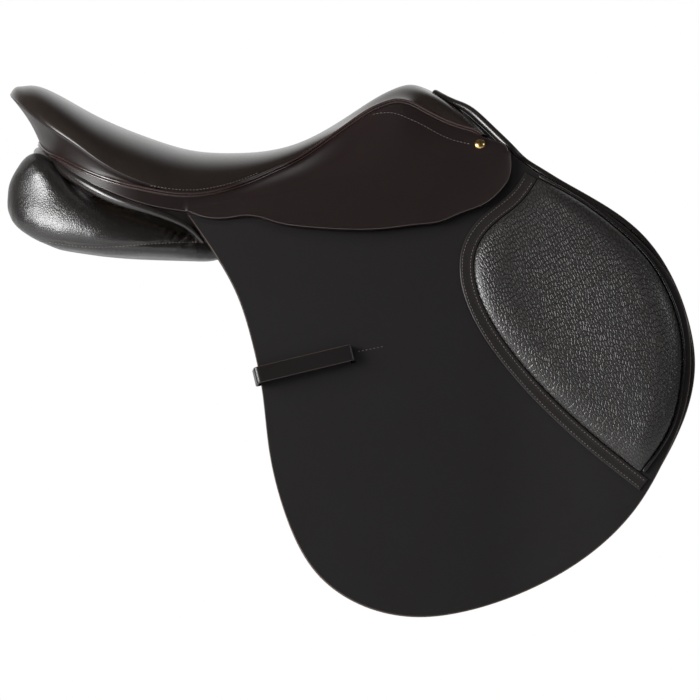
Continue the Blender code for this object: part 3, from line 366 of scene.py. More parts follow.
ROUND_FROM = -89.0
CANTLE_LENGTH = 120.0
CANTLE_HALF_WIDTH = 126.0
CANTLE_TUCK = 28.0
SEAT_FRONT = 180.0
HEAD_CUT_BACK = 51.0
CUT_BACK_FROM = 60.0
SEAT_LEATHER = 2.4
GAP = 0.3
SIDES = (("left", 1), ("right", -1))


def seat_width(x):
    round_part = CANTLE_HALF_WIDTH * np.sqrt(np.maximum(0, 1 - ((ROUND_FROM - x) / CANTLE_LENGTH)**2))
    return np.where(x >= ROUND_FROM, half_width(x), round_part)


def seat_height(x, middle_x, across):
    crown = np.maximum(0, 1 - np.abs(across)**2.3)**0.62
    edge = np.where(x < -62, cantle_rim(x), welt_line(x))
    return edge + (seat_middle(middle_x) - edge) * crown


def seat_point(station, across):
    """A point of the seat. Stations -1 to 0 go round the cantle, and 0 to 1 go from there to the front."""
    angle = (1 + station) * math.pi / 2
    x = ROUND_FROM - CANTLE_LENGTH * across * np.cos(angle)
    y = CANTLE_HALF_WIDTH * across * np.sin(angle)
    share = np.minimum(1, y / np.maximum(seat_width(x), 1e-6))
    share = np.where((np.abs(angle) < 1e-9) & (across > 0.9999), 1.0, share)
    rear = point(x, y, seat_height(x, x, share))
    middle_x = ROUND_FROM + (SEAT_FRONT - ROUND_FROM) * station
    reach = ease((middle_x - CUT_BACK_FROM) / (SEAT_FRONT - CUT_BACK_FROM))
    x = middle_x + HEAD_CUT_BACK * reach * across**1.6
    fore = point(x, across * seat_width(x), seat_height(x, middle_x, across))
    return np.where((np.asarray(station) < 0)[..., None], rear, fore)


def welt_point(station):
    angle = (1 + station) * math.pi / 2
    x = ROUND_FROM - (CANTLE_LENGTH - CANTLE_TUCK) * np.cos(angle)
    rear = point(x, CANTLE_HALF_WIDTH * np.sin(angle), welt_line(x))
    fore = seat_point(np.maximum(station, 0), 1.0)
    fore[..., 2] = welt_line(fore[..., 0])
    return np.where((np.asarray(station) < 0)[..., None], rear, fore)


def grid_piece(name, grid, look, outward, side=1):
    """An open surface from a grid of points in millimetres, its faces turned outward."""
    grid = np.array(grid, float)
    if side < 0:
        grid = grid * (1, -1, 1)
        outward = np.array(outward) * (1, -1, 1)
    rows, columns = grid.shape[:2]
    shape = bmesh.new()
    verts = [shape.verts.new(p * MM) for p in grid.reshape(-1, 3)]
    for i in range(rows - 1):
        for j in range(columns - 1):
            k = i * columns + j
            shape.faces.new((verts[k], verts[k + 1], verts[k + columns + 1], verts[k + columns]))
    bmesh.ops.remove_doubles(shape, verts=shape.verts[:], dist=2e-5)
    bmesh.ops.dissolve_degenerate(shape, edges=shape.edges[:], dist=1e-5)
    bmesh.ops.recalc_face_normals(shape, faces=shape.faces[:])
    shape.normal_update()
    leaning = sum(face.normal.dot(Vector(outward)) * face.calc_area() for face in shape.faces)
    if leaning < 0:
        bmesh.ops.reverse_faces(shape, faces=shape.faces[:])
    return smooth_piece(shape, name, look)


def places_of(mesh):
    """A mesh's points, in metres."""
    return np.array([v.co for v in mesh.vertices])


def move_points(mesh, places):
    mesh.vertices.foreach_set("co", places.ravel())
    mesh.update()


def mark_rim(piece, edge, side=1):
    """Store each point's distance in metres from a line of points in millimetres."""
    line = np.array(edge, float) * (1, side, 1) * MM
    places = places_of(piece.data)
    near = np.full(len(places), 1.0)
    for first in range(0, len(line), 50):
        away = np.linalg.norm(places[:, None] - line[None, first:first + 50], axis=2).min(1)
        near = np.minimum(near, away)
    piece.data.attributes.new("rim", "FLOAT", "POINT").data.foreach_set("value", near.astype(np.float32))


def leather(name, outer, thickness, look, side=1, inner=None, plain=None, rounding=0.4, centred=False,
            facing=(0, 1, 0), cutters=()):
    """A closed leather from a grid of its outer face in millimetres, with rounded edges, and slots cut.

    The plain places of its edge stay square, where another leather runs on from it.
    """
    outer = np.array(outer, float)
    normal = unit(np.cross(np.gradient(outer, axis=0), np.gradient(outer, axis=1)))
    if (normal * facing).sum() < 0:
        normal = -normal
    if centred:
        outer = outer + normal * thickness / 2
    if inner is None:
        inner = outer - normal * thickness
    rows, columns = outer.shape[:2]
    index = np.arange(rows * columns).reshape(rows, columns)
    loop = np.concatenate([index[0, :-1], index[:-1, -1], index[-1, :0:-1], index[:0:-1, 0]])
    i, j = np.divmod(loop, columns)
    near = outer[np.clip(i, 1, rows - 2), np.clip(j, 1, columns - 2)]
    top, base = outer.reshape(-1, 3).copy(), np.array(inner, float).reshape(-1, 3).copy()
    edge = top[loop]
    out = unit(np.cross(np.roll(edge, -1, 0) - np.roll(edge, 1, 0), normal.reshape(-1, 3)[loop]))
    if ((edge - near) * out).sum() < 0:
        out = -out
    radius = np.minimum(thickness * rounding, 0.5 * np.linalg.norm(edge - near, axis=1))
    rounded_edge = np.ones(len(loop), bool) if plain is None else ~plain.reshape(-1)[loop]
    radius = np.where(rounded_edge, radius, 0.0)[:, None]
    top[loop] -= out * radius
    base[loop] -= out * radius
    middle, half = (top[loop] + base[loop]) / 2, (top[loop] - base[loop]) / 2
    places = [top, base]
    for turn in np.radians([60, 30, 0, -30, -60]):
        places.append(middle + half * math.copysign(abs(math.sin(turn))**0.7,
                                                    turn) + out * radius * math.cos(turn)**0.7)
    flat = np.concatenate(places) * (1, side, 1) * MM
    faces = []
    for first in (0, rows * columns):
        k = (index[:-1, :-1] + first).ravel()
        faces += np.stack([k, k + 1, k + columns + 1, k + columns], axis=1).tolist()
    between = [2 * rows * columns + n * len(loop) + np.arange(len(loop)) for n in range(5)]
    rings = [loop, *between, loop + rows * columns]
    for a, b in zip(rings, rings[1:]):
        faces += np.stack([a, np.roll(a, -1), np.roll(b, -1), b], axis=1).tolist()
    mesh = bpy.data.meshes.new(name)
    mesh.from_pydata(flat.tolist(), [], faces)
    shape = bmesh.new()
    shape.from_mesh(mesh)
    bmesh.ops.remove_doubles(shape, verts=shape.verts[:], dist=2e-5)
    bmesh.ops.dissolve_degenerate(shape, edges=shape.edges[:], dist=1e-5)
    bmesh.ops.recalc_face_normals(shape, faces=shape.faces[:])
    shape.to_mesh(mesh)
    shape.free()
    mesh.shade_smooth()
    mesh.set_sharp_from_angle(angle=math.radians(50))
    mesh.materials.append(look)
    piece = in_scene(name, mesh)
    if cutters:
        for cutting in cutters:
            slot = piece.modifiers.new("slot", "BOOLEAN")
            slot.operation = "DIFFERENCE"
            slot.solver = "EXACT"
            slot.object = cutting
        piece = finished(piece, name)
    mark_rim(piece, edge[rounded_edge], side)
    return piece


def thicken(piece, name, thickness):
    """Give a stretched leather its thickness, inward."""
    wall = piece.modifiers.new("thickness", "SOLIDIFY")
    wall.thickness = thickness * MM
    wall.offset = -1.0
    return finished(piece, name)


def node_group(name, kind, inputs, outputs):
    """A node group with its sockets as (label, kind, value) and (label, kind), and what it is given."""
    made = bpy.data.node_groups.new(name, kind)
    for label, socket_kind, value in inputs:
        socket = made.interface.new_socket(label, in_out="INPUT", socket_type="NodeSocket" + socket_kind)
        if value is not None:
            socket.default_value = value
    for label, socket_kind in outputs:
        made.interface.new_socket(label, in_out="OUTPUT", socket_type="NodeSocket" + socket_kind)
    return made, made.nodes.new("NodeGroupInput").outputs


def hide_pattern(name, dimensions):
    """The pebbled grain of a hide: cells of a given size, pulled out of line, with fine pores in them, and a
    mask for painted shade in the creases.
    """
    made, given = node_group(name, "ShaderNodeTree",
                             (("Place", "Vector", None), ("Cell", "Float", 0.0015),
                              ("Pull", "Float", 0.4), ("Crease", "Float", 0.2)),
                             (("Height", "Float"), ("CreaseShade", "Float"), ("Mottle", "Float")))
    scale = calc(made, "DIVIDE", 1.0, given["Cell"])
    wander = add(made, "ShaderNodeTexNoise", {"Vector": given["Place"], "Detail": 2.0,
                                              "Scale": calc(made, "MULTIPLY", scale, 0.45)})
    centred = add(made, "ShaderNodeVectorMath", {0: wander.outputs["Color"], 1: (0.5, 0.5, 0.5)},
                  operation="SUBTRACT")
    pull = calc(made, "MULTIPLY", given["Cell"], given["Pull"])
    pulled = add(made, "ShaderNodeVectorMath", {0: centred.outputs[0],
                                                "Scale": calc(made, "MULTIPLY", pull, 1.6)},
                 operation="SCALE")
    place = add(made, "ShaderNodeVectorMath", {0: given["Place"], 1: pulled.outputs[0]}, operation="ADD")
    cell = add(made, "ShaderNodeTexVoronoi", {"Vector": place.outputs[0], "Scale": scale, "Randomness": 0.9},
               feature="DISTANCE_TO_EDGE", voronoi_dimensions=dimensions)
    height = add(made, "ShaderNodeMapRange", {"Value": cell.outputs[0], 1: 0.0, 2: given["Crease"], 3: 0.0,
                                              4: 1.0},
                 interpolation_type="SMOOTHSTEP").outputs[0]
    pores = noise(made, given["Place"], 4200.0, 2.0)
    total = calc(made, "ADD", calc(made, "MULTIPLY", height, 0.95), calc(made, "MULTIPLY", pores, 0.05))
    mottle = noise(made, given["Place"], 28.0, 4.0, 0.6)
    add(made, "NodeGroupOutput", {"Height": total, "CreaseShade": height, "Mottle": mottle})
    return made


HIDE_PATTERN = hide_pattern("hide_pattern", "3D")
FLAT_PATTERN = hide_pattern("flat_hide_pattern", "2D")


def hide(name, colour, worn, roughness, cell, crease, strength, stretch=(1, 1, 1), turn=(0, 0, 0), pull=0.4,
         specular=0.5, raw=None, raw_width=0.0011, gloss_worn=0.08, painted_shade_darkness=0.45, painted_shade_strength=0.55,
         grain=HIDE_PATTERN):
    """A finished leather: dyed colour with mottling, grain with painted shade in its creases, and a
    burnished raw edge where it has one (on the skirts partly a painted highlight).
    """
    look, tree = new_material(name)
    pattern = add(tree, "ShaderNodeGroup", {"Place": stretched(tree, stretch, turn), "Cell": cell,
                                            "Pull": pull,
                                            "Crease": crease}, node_tree=grain)
    mottle = remap(tree, pattern.outputs["Mottle"], 0.34, 0.68)
    tone = blend_colour(tree, mottle, (*colour, 1), (*worn, 1))
    # Painted shade: the grain's creases are darkened and its pebble tops left lighter, standing in for shade
    # in the creases and sheen on the tops.
    tone = blend_colour(tree, remap(tree, pattern.outputs["CreaseShade"], 0.0, 1.0, painted_shade_strength, 0.0), tone,
                        (*(c * painted_shade_darkness for c in colour), 1))
    gloss = remap(tree, pattern.outputs["Mottle"], 0.3, 0.7, roughness + gloss_worn / 2,
                  roughness - gloss_worn / 2)
    if raw:
        rim = add(tree, "ShaderNodeAttribute", {}, attribute_name="rim").outputs["Fac"]
        edge = remap(tree, rim, raw_width * 0.5, raw_width, 1.0, 0.0)
        tone = blend_colour(tree, edge, tone, (*raw, 1))
        gloss = add(tree, "ShaderNodeMix", {0: edge, 2: gloss, 3: 0.3}).outputs[0]
    finish_material(tree, {"Base Color": tone, "Roughness": gloss, "Specular IOR Level": specular},
                    pattern.outputs["Height"], strength, cell * 0.22)
    return look


seat_calf = hide("seat_calf", (0.0140, 0.0105, 0.0090), (0.0190, 0.0145, 0.0120), 0.22, 0.0011, 0.35, 0.05,
                 gloss_worn=0.04)
SEAT_STATIONS = np.r_[np.linspace(-1, 0, 49), np.linspace(0, 1, 73)[1:]]
SEAT_ACROSS = 1 - (1 - np.linspace(0, 1, 34))**1.9
seat_half = seat_point(SEAT_STATIONS[:, None], SEAT_ACROSS[None, :])
pommel_edge = cubic([(180, 159.2), (193, 150.5), (204, 142.8), (214.4, 134.5), (222.6, 126.2), (231, 117.2)])
sink = np.maximum(0, seat_half[-1, :, 2] - pommel_edge(seat_half[-1, :, 0])) * (SEAT_ACROSS < 1)
seat_half[..., 2] -= sink[None, :] * ease((SEAT_STATIONS[:, None] - 0.87) / 0.13)
for node, look in (("seat_foam", foam), ("seat_webbing", webbing)):
    shape = bmesh.new()
    shape.from_mesh(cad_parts[node].data)
    bmesh.ops.remove_doubles(shape, verts=shape.verts[:], dist=1e-6)
    mesh = bpy.data.meshes.new(node + "_shaped")
    shape.to_mesh(mesh)
    shape.free()
    mesh.materials.append(look)
    places = places_of(mesh) / MM
    share = np.clip(np.abs(places[:, 1]) / seat_width(places[:, 0]), 0, 1)
    station = (places[:, 0] - HEAD_CUT_BACK * share**1.6 * ease((places[:, 0] - 90) / 120) - ROUND_FROM) / (
        SEAT_FRONT - ROUND_FROM)
    settle = ease((station - 0.80) / 0.15)
    places[:, 2] -= (np.interp(share, SEAT_ACROSS, sink) + 2.0) * settle
    places[:, 0] -= 5.0 * settle
    move_points(mesh, places * MM)
    layer = in_scene(node + "_shaped", mesh)
    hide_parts(node)
    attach(layer, "saddle")
seat_grid = np.concatenate([(seat_half * (1, -1, 1))[:, :0:-1], seat_half], axis=1)
seat = grid_piece("seat_surface", seat_grid, seat_calf, (0, 0, 1))
mark_rim(seat, seat_half[:, -1])
seat = thicken(seat, "seat_leather", SEAT_LEATHER)
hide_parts("seat_cover")
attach(seat, "saddle")

# Cantle facing: a curved band of the same calf, sewn between the seat's rim and the welt.
# It is drawn in over the cantle board, so it is slightly hollow from top to bottom.
FACING_STATIONS = np.linspace(-1, 0.06, 60)
FACING_HOLLOW = 3.0
UNDER_RIM = 1.2
BEHIND_WELT = 2.6
rim = seat_point(FACING_STATIONS, 1.0) - (0, 0, UNDER_RIM)
foot = welt_point(FACING_STATIONS) - (0, 0, BEHIND_WELT)
angle = np.minimum((1 + FACING_STATIONS) * math.pi / 2, math.pi / 2)
outward = point(-np.cos(angle), np.sin(angle), 0)
share = np.linspace(0, 1, 15)[None, :, None]
facing_calf = hide("facing_calf", (0.0120, 0.0085, 0.0080), (0.0165, 0.0115, 0.0105), 0.44, 0.0011, 0.35,
                   0.05,
                   specular=0.35)
facing_half = rim[:, None] + (foot - rim)[:, None] * share
facing_half = facing_half - outward[:, None] * (0.5 + FACING_HOLLOW * np.sin(math.pi * share))
facing_grid = np.concatenate([(facing_half * (1, -1, 1))[:0:-1], facing_half], axis=0)
facing = leather("cantle_facing_leather", facing_grid, 1.6, facing_calf, facing=(-1, 0, 0))
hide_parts("cantle_facing")
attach(facing, "saddle")


# Welt: a double piping of thin leather rolled round cord, sewn in between the seat and the skirts.
# Its turned edges are burnished reddish brown.
def bead(name, path, radii, look, side, sides=12):
    """A round bead along points in millimetres, with domed ends."""
    path = np.array(path, float) * (1, side, 1)
    radii = np.broadcast_to(np.array(radii, float), len(path))
    along = unit(np.gradient(path, axis=0))
    cap = np.radians([80, 60, 40, 20])
    centres = [path[0] - along[0] * radii[0] * math.sin(a) for a in cap] + list(path)
    sizes = [radii[0] * math.cos(a) for a in cap] + list(radii)
    ways = [along[0]] * len(cap) + list(along)
    centres += [path[-1] + along[-1] * radii[-1] * math.sin(a) for a in cap[::-1]]
    sizes += [radii[-1] * math.cos(a) for a in cap[::-1]]
    ways += [along[-1]] * len(cap)
    over = np.array((0, 0, 1.0)) if abs(ways[0][2]) < 0.8 else np.array((0, 1.0, 0))
    shape = bmesh.new()
    rings = []
    for centre, size, way in zip(centres, sizes, ways):
        over = unit(over - way * (over @ way))
        beside = np.cross(way, over)
        turn = np.arange(sides) * 2 * math.pi / sides
        ring = centre + size * (np.cos(turn)[:, None] * over + np.sin(turn)[:, None] * beside)
        rings.append([shape.verts.new(p * MM) for p in ring])
    for a, b in zip(rings, rings[1:]):
        for k in range(sides):
            shape.faces.new((a[k], a[(k + 1) % sides], b[(k + 1) % sides], b[k]))
    shape.faces.new(rings[0])
    shape.faces.new(rings[-1])
    bmesh.ops.recalc_face_normals(shape, faces=shape.faces[:])
    piece = smooth_piece(shape, name, look)
    no_rim = np.ones(len(piece.data.vertices), np.float32)
    piece.data.attributes.new("rim", "FLOAT", "POINT").data.foreach_set("value", no_rim)
    return piece


def seam_along(station):
    small = 1e-3
    return unit(welt_point(np.minimum(station + small, 1.0)) - welt_point(np.maximum(station - small, -1.0)))


def seam_drop(station):
    along = seam_along(station)
    return unit(np.array((0, 0, -1.0)) + along * along[..., 2:])


def seam_side(station):
    return -np.cross(seam_drop(station), seam_along(station))


WELT_BEAD = 3.3
welt_hide = hide("welt_hide", (0.026, 0.0160, 0.0150), (0.036, 0.0215, 0.0200), 0.15, 0.0007, 0.3, 0.02,
                 specular=0.8)
welt_stations = np.linspace(-0.995, 0.99, 400)
for name, side in SIDES:
    for part, drop, radius, proud in (("upper", 0.7, 1.15, 0.9), ("lower", 2.9, 1.0, 1.4)):
        middle = welt_point(welt_stations) + seam_drop(welt_stations) * drop
        middle = middle + seam_side(welt_stations) * proud
        welt = bead(f"welt_{part}_{name}", middle, radius, welt_hide, side, 10)
        if part == "upper":
            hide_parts(f"seat_welt_{name}")
        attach(welt, "saddle")

# Flaps: two large sheets of firm, dull hide, cut to shape and edged, hung from the tree under the skirts.
# They bend along a line below the stirrup bar, which stands in a slot, and a keeper goes through each.
BEND_HEIGHT = 53.4
BEND_RISE = 0.186
BEND_HALF_WIDTH = 116.0
BEND_TAPER = 0.17
BEND_REAR, BEND_FRONT = -44.0, 253.5
BEND_REACH_FROM = 190.0
FLAP_SPREAD = 62.0
FLAP_SPREAD_DEPTH = 110.0
FLAP_SPLAY = 0.11
FLAP_FLARE = 16.0
FLARE_FROM = 240.0
FLARE_LENGTH = 180.0
SKIRT_LEATHER = 3.4
FLAP_LEATHER = 4.2
SEAM_STEP = 1.4
TAIL_LEAN = 0.3
tail_edge = cubic([(-186, 104.6), (-168, 94.5), (-151, 83.8), (-133, 73.4), (-112, 63.4), (-83, 52.2),
                   (-44, 45.2)])
flap_edge = route([(-44, 45.2), (-40, 39.6), (-12, -1.8), (2, -28.5), (16, -71.8), (26, -120.5), (32, -172),
                   (47, -231.8), (77, -287), (121, -316.5), (171, -325.7), (205, -322), (268, -301.8),
                   (327.5, -267),
                   (370, -224), (396, -179), (413, -137), (419.5, -90), (416, -55), (405, -22), (384, 8),
                   (351, 39),
                   (314, 62.5), (279, 82), (253.5, 100.5)])


def bend_point(x):
    return point(x, BEND_HALF_WIDTH - BEND_TAPER * x, BEND_HEIGHT + BEND_RISE * x - GAP / 2)


def hang(x, z):
    """The flap's outer face below the bend: its distance from the middle plane."""
    depth = BEND_HEIGHT + BEND_RISE * x - GAP / 2 - z
    flare = FLAP_FLARE * ease((x - FLARE_FROM) / FLARE_LENGTH) * ease(depth / FLARE_LENGTH)
    spread = FLAP_SPREAD * (1 - np.exp(-depth / FLAP_SPREAD_DEPTH))
    return BEND_HALF_WIDTH - BEND_TAPER * x + spread + FLAP_SPLAY * depth + flare


def hang_normal(x, z):
    small = 0.5
    slope_x = (hang(x + small, z) - hang(x - small, z)) / (2 * small)
    slope_z = (hang(x, z + small) - hang(x, z - small)) / (2 * small)
    return unit(point(-slope_x, 1, -slope_z))


def on_flap(x, z, depth):
    """A point below the bend, off the flap's outer face."""
    return point(x, hang(x, z), z) + hang_normal(x, z) * np.asarray(depth, float)[..., None]


def skirt_foot(station, start):
    x = start[..., 0]
    z = tail_edge(x)
    rear = point(x, start[..., 1], z) + seam_side(station) * (TAIL_LEAN * (start[..., 2] - z))[..., None]
    front = welt_point(np.array(1.0))[0]
    reach = (BEND_FRONT - front) * ease((x - BEND_REACH_FROM) / (front - BEND_REACH_FROM))
    fore = bend_point(np.minimum(x + reach, BEND_FRONT)) + (0, 0, GAP)
    return np.where((x < BEND_REAR)[..., None], rear, fore)


def top_frame(station):
    """Of the flap's outer face above the bend: its start at the seam, its foot, and the way out at each."""
    side = seam_side(station)
    edge = welt_point(station) + seam_drop(station) * (WELT_BEAD + GAP) + side * SEAM_STEP
    chord = skirt_foot(station, edge) - edge
    lean = np.maximum(0, (chord * side).sum(-1))
    way_out = unit(side * -chord[..., 2:] + point(0, 0, lean))
    start = edge - way_out * (GAP + SKIRT_LEATHER)
    foot = skirt_foot(station, start)
    hung = hang_normal(foot[..., 0], foot[..., 2] - GAP)
    return start, foot, way_out, np.where((start[..., 0] < BEND_REAR)[..., None], way_out, hung)


def on_top(station, share, depth):
    """A point above the bend, from the seam (0) to the bend (1), off the flap's outer face."""
    start, foot, first_out, last_out = top_frame(station)
    chord = foot - start
    leave = unit(np.array((0, FLAP_SPREAD / FLAP_SPREAD_DEPTH + FLAP_SPLAY, -1.0)))
    reach = np.linalg.norm(chord, axis=-1, keepdims=True)
    arrive = np.where((start[..., :1] < BEND_REAR), chord, leave * reach)
    first = 1.5 * chord - 0.5 * arrive
    t = np.asarray(share, float)[..., None]
    place = (start * (2 * t**3 - 3 * t**2 + 1) + first * (t**3 - 2 * t**2 + t)
             + foot * (3 * t**2 - 2 * t**3) + arrive * (t**3 - t**2))
    return place + unit(first_out * (1 - t) + last_out * t) * np.asarray(depth, float)[..., None]


def bend_station(x):
    """The station whose line down the side meets the bend at x."""
    stations = np.linspace(0, 1, 1500)
    start, foot = top_frame(stations)[:2]
    good = start[:, 0] >= BEND_REAR
    return np.interp(x, foot[good, 0], stations[good])


def seen_on_flap(x, z, depth):
    """A point off the flap's outer face that is seen at (x, z) from the side."""
    place_x, place_z = x, z
    for _ in range(6):
        found = on_flap(place_x, place_z, depth)
        place_x = place_x + x - found[..., 0]
        place_z = place_z + z - found[..., 2]
    return on_flap(place_x, place_z, depth)


def hung_grid(edge, columns, rows, depth, top_from):
    """A leather's outer face as grids above and below the bend, the rows closer together at its edge."""
    across = np.linspace(0, 1, columns)
    x = BEND_REAR + (BEND_FRONT - BEND_REAR) * across
    first = np.stack([x, bend_point(x)[:, 2]], axis=-1)
    down = 1 - (1 - np.linspace(0, 1, rows))**1.35
    place = first[:, None] + (edge(across) - first)[:, None] * down[None, :, None]
    below = on_flap(place[..., 0], place[..., 1], depth)
    station = bend_station(x)
    above = on_top(station[:, None], np.linspace(top_from, 1, 14)[None, :], depth)
    above[:, -1] = below[:, 0]
    return above, below


def cutter(name, corners, side):
    """A block through eight corners, four at each end."""
    shape = bmesh.new()
    rings = [[shape.verts.new(p * (1, side, 1) * MM) for p in ring] for ring in corners]
    for k in range(4):
        shape.faces.new((rings[0][k], rings[0][(k + 1) % 4], rings[1][(k + 1) % 4], rings[1][k]))
    shape.faces.new(rings[0])
    shape.faces.new(rings[1])
    bmesh.ops.recalc_face_normals(shape, faces=shape.faces[:])
    mesh = bpy.data.meshes.new(name)
    shape.to_mesh(mesh)
    shape.free()
    return in_scene(name, mesh)


BAR_MIDDLE = 170.0
BAR_DROP = 24.0
BAR_HALF = 42.0
BAR_HEIGHT = 14.0
SLOT_MARGIN = 8.0
CATCH_LENGTH = 14.5
BEND_WAY = unit(np.array((1, -BEND_TAPER, BEND_RISE)))
bar_z = bend_point(np.array(BAR_MIDDLE))[2] - BAR_DROP
BAR_ORIGIN = on_flap(np.array(BAR_MIDDLE), bar_z, 0)
BAR_NORMAL = hang_normal(np.array(BAR_MIDDLE), bar_z)
BAR_UP = np.cross(BAR_NORMAL, BEND_WAY)
half = BAR_HEIGHT / 2 + SLOT_MARGIN
bar_slot = [[BAR_ORIGIN + BEND_WAY * a + BAR_UP * u + BAR_NORMAL * o for u, o in
             ((-half, -12), (half, -12), (half, 8), (-half, 8))]
            for a in (-BAR_HALF - CATCH_LENGTH - 2, BAR_HALF + 2 * SLOT_MARGIN)]

KEEPER_SLOT = np.array((107.0, -85.0))
KEEPER_FOLD = np.array((21.5, -105.5))
KEEPER_WIDTH = 15.0
KEEPER_WAY = unit(KEEPER_SLOT - KEEPER_FOLD)
KEEPER_LENGTH = float(np.linalg.norm(KEEPER_SLOT - KEEPER_FOLD))


def on_keeper(along, across, out):
    x = KEEPER_FOLD[0] + KEEPER_WAY[0] * along - KEEPER_WAY[1] * across
    z = KEEPER_FOLD[1] + KEEPER_WAY[1] * along + KEEPER_WAY[0] * across
    return on_flap(x, z, out)


half = KEEPER_WIDTH / 2 + 0.8
keeper_slot = [[on_keeper(a, c, o) for c, o in ((-half, -12), (half, -12), (half, 8), (-half, 8))]
               for a in (KEEPER_LENGTH - 2.2, KEEPER_LENGTH + 2.2)]

flap_hide = hide("flap_hide", (0.0090, 0.0078, 0.0081), (0.0118, 0.0100, 0.0103), 0.50, 0.0009, 0.4, 0.09,
                 specular=0.32, raw=(0.085, 0.055, 0.045))
FLAP_TOP_FROM = 0.4
BEND_MIDDLE = 105.0


def surface_of(piece):
    return BVHTree.FromObject(piece, bpy.context.evaluated_depsgraph_get())


def bend_middle(side):
    """The middle of the bend, and the way that the leathers fall there."""
    return bend_point(np.array(BEND_MIDDLE)) * (1, side, 1), unit(np.array((0, 1.0, -1.6))) * (1, side, 1)


flap_surfaces = {}
for name, side in SIDES:
    whole, under = [np.concatenate([above[:, :-1], below], axis=1) for above, below in
                    (hung_grid(flap_edge, 200, 64, depth, FLAP_TOP_FROM) for depth in (0.0, -FLAP_LEATHER))]
    cutters = [cutter("bar_slot", bar_slot, side), cutter("keeper_slot", keeper_slot, side)]
    flap = leather(f"flap_leather_{name}", whole, FLAP_LEATHER, flap_hide, side, inner=under,
                   cutters=cutters)
    for block in cutters:
        bpy.data.objects.remove(block)
    flap_surfaces[name] = surface_of(flap)
    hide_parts(f"flap_top_{name}", f"flap_{name}")
    middle, fall = bend_middle(side)
    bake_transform(flap)

# Knee inserts: padded pieces of coarse-grained calf on the flaps, each with a block under its front edge.
# A band of smooth hide is sewn down round the rear of each, and a piping runs round the front.
insert_rear = route([(279, 76.5), (264, 55), (236.5, 32.2), (222, 10), (221, -17), (232, -48), (254, -82),
                     (295, -128),
                     (341, -169), (372, -193.5)])
insert_front = route([(279, 76.5), (313, 57), (350, 30), (380, 0), (400, -35), (410, -75), (409, -112),
                      (400, -150),
                      (372, -193.5)])
INSERT_PLAIN = 8.0
INSERT_BLOCK = 5.5
REAR_ROUND, FRONT_ROUND = 28.0, 25.0
BAND_WIDTH = 13.0
PIPING_RADIUS = 1.6


def quarter(distance, radius):
    """How an edge rounds over: 0 at the edge, 1 from that radius on."""
    return np.sqrt(np.maximum(0, 1 - (1 - np.clip(distance / radius, 0, 1))**2))


def insert_grid(rows, columns):
    t = np.linspace(0.004, 0.996, rows)[:, None]
    u = (0.5 - 0.5 * np.cos(np.linspace(0, math.pi, columns)))[None, :]
    rear, front = insert_rear(t[:, 0]), insert_front(t[:, 0])
    place = rear[:, None] + (front - rear)[:, None] * u[..., None]
    width = np.linalg.norm(front - rear, axis=1)[:, None]
    ends = np.minimum(t, 1 - t) * 340
    crown = (INSERT_PLAIN + INSERT_BLOCK * ease((u - 0.1) / 0.8)) * quarter(ends, 60)
    swell = crown * quarter(u * width, REAR_ROUND) * quarter((1 - u) * width, FRONT_ROUND)
    return on_flap(place[..., 0], place[..., 1], 1.2 + swell)


# The knee insert's grain carries strong painted shade in its creases, so its pebble tops read as lit.
grained_calf = hide("grained_calf", (0.0190, 0.0172, 0.0165), (0.0260, 0.0235, 0.0225), 0.34, 0.0025, 0.24,
                    0.42,
                    stretch=(1.0, 0.56, 1.0), turn=(math.radians(-90), 0, math.radians(-30)), pull=0.25,
                    specular=0.6,
                    painted_shade_darkness=0.2, painted_shade_strength=0.9, grain=FLAT_PATTERN)
smooth_band = hide("band_hide", (0.0130, 0.0110, 0.0105), (0.0170, 0.0140, 0.0130), 0.42, 0.0009, 0.4, 0.09,
                   specular=0.4)
shiny_piping = hide("piping_hide", (0.0120, 0.0100, 0.0095), (0.0160, 0.0130, 0.0120), 0.26, 0.0008, 0.3,
                    0.1)


def beside(path, share, distance):
    """Points beside a path in the side view, to its left for a positive distance."""
    small = 5e-3
    along = unit(path(np.minimum(share + small, 1)) - path(np.maximum(share - small, 0)))
    return path(share) + distance * np.stack([-along[..., 1], along[..., 0]], axis=-1)


for name, side in SIDES:
    insert = grid_piece("insert_surface", insert_grid(150, 90), grained_calf, (0, 1, 0), side)
    insert = thicken(insert, f"knee_insert_calf_{name}", 1.2)
    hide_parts(f"knee_insert_{name}")
    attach(insert, f"flap_{name}")
    t = np.linspace(0.004, 0.992, 150)
    width = np.array([0.5, 1.2, 3.0, 5.0, 7.0, 9.0, 11.0, 12.4, BAND_WIDTH + 0.5])
    lift = np.array([2.0, 2.3, 2.1, 1.8, 1.8, 1.8, 1.8, 1.7, 1.3])
    places = np.stack([beside(insert_rear, t, -w) for w in width], axis=1)
    ahead = unit(insert_rear(1.0) - insert_rear(0.97))
    places = np.concatenate([places, places[-1] + ahead * np.array((3, 6, 9, 12.5))[:, None, None]])
    band = leather(f"insert_band_hide_{name}", on_flap(places[..., 0], places[..., 1], lift[None, :]), 1.5,
                   smooth_band,
                   side)
    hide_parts(f"insert_band_{name}")
    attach(band, f"flap_{name}")
    t = np.linspace(0.004, 0.99, 150)
    line = beside(insert_front, t, PIPING_RADIUS + 0.5)
    piping = bead(f"insert_piping_hide_{name}", on_flap(line[:, 0], line[:, 1], GAP + PIPING_RADIUS),
                  PIPING_RADIUS,
                  shiny_piping, side)
    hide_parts(f"insert_piping_{name}")
    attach(piping, f"flap_{name}")


# Stitching: waxed linen thread in even rows, about three stitches to the centimetre.
# Each stitch is a short round bridge of thread that sinks into the leather at both ends.
thread, tree = new_material("waxed_thread")
twist = add(tree, "ShaderNodeTexWave", {"Vector": stretched(tree, (1, 1, 1)), "Scale": 1400.0}).outputs[1]
tone = blend_colour(tree, twist, (0.075, 0.060, 0.054, 1), (0.150, 0.122, 0.110, 1))
finish_material(tree, {"Base Color": tone, "Roughness": 0.6}, twist, 0.3, 0.0001)


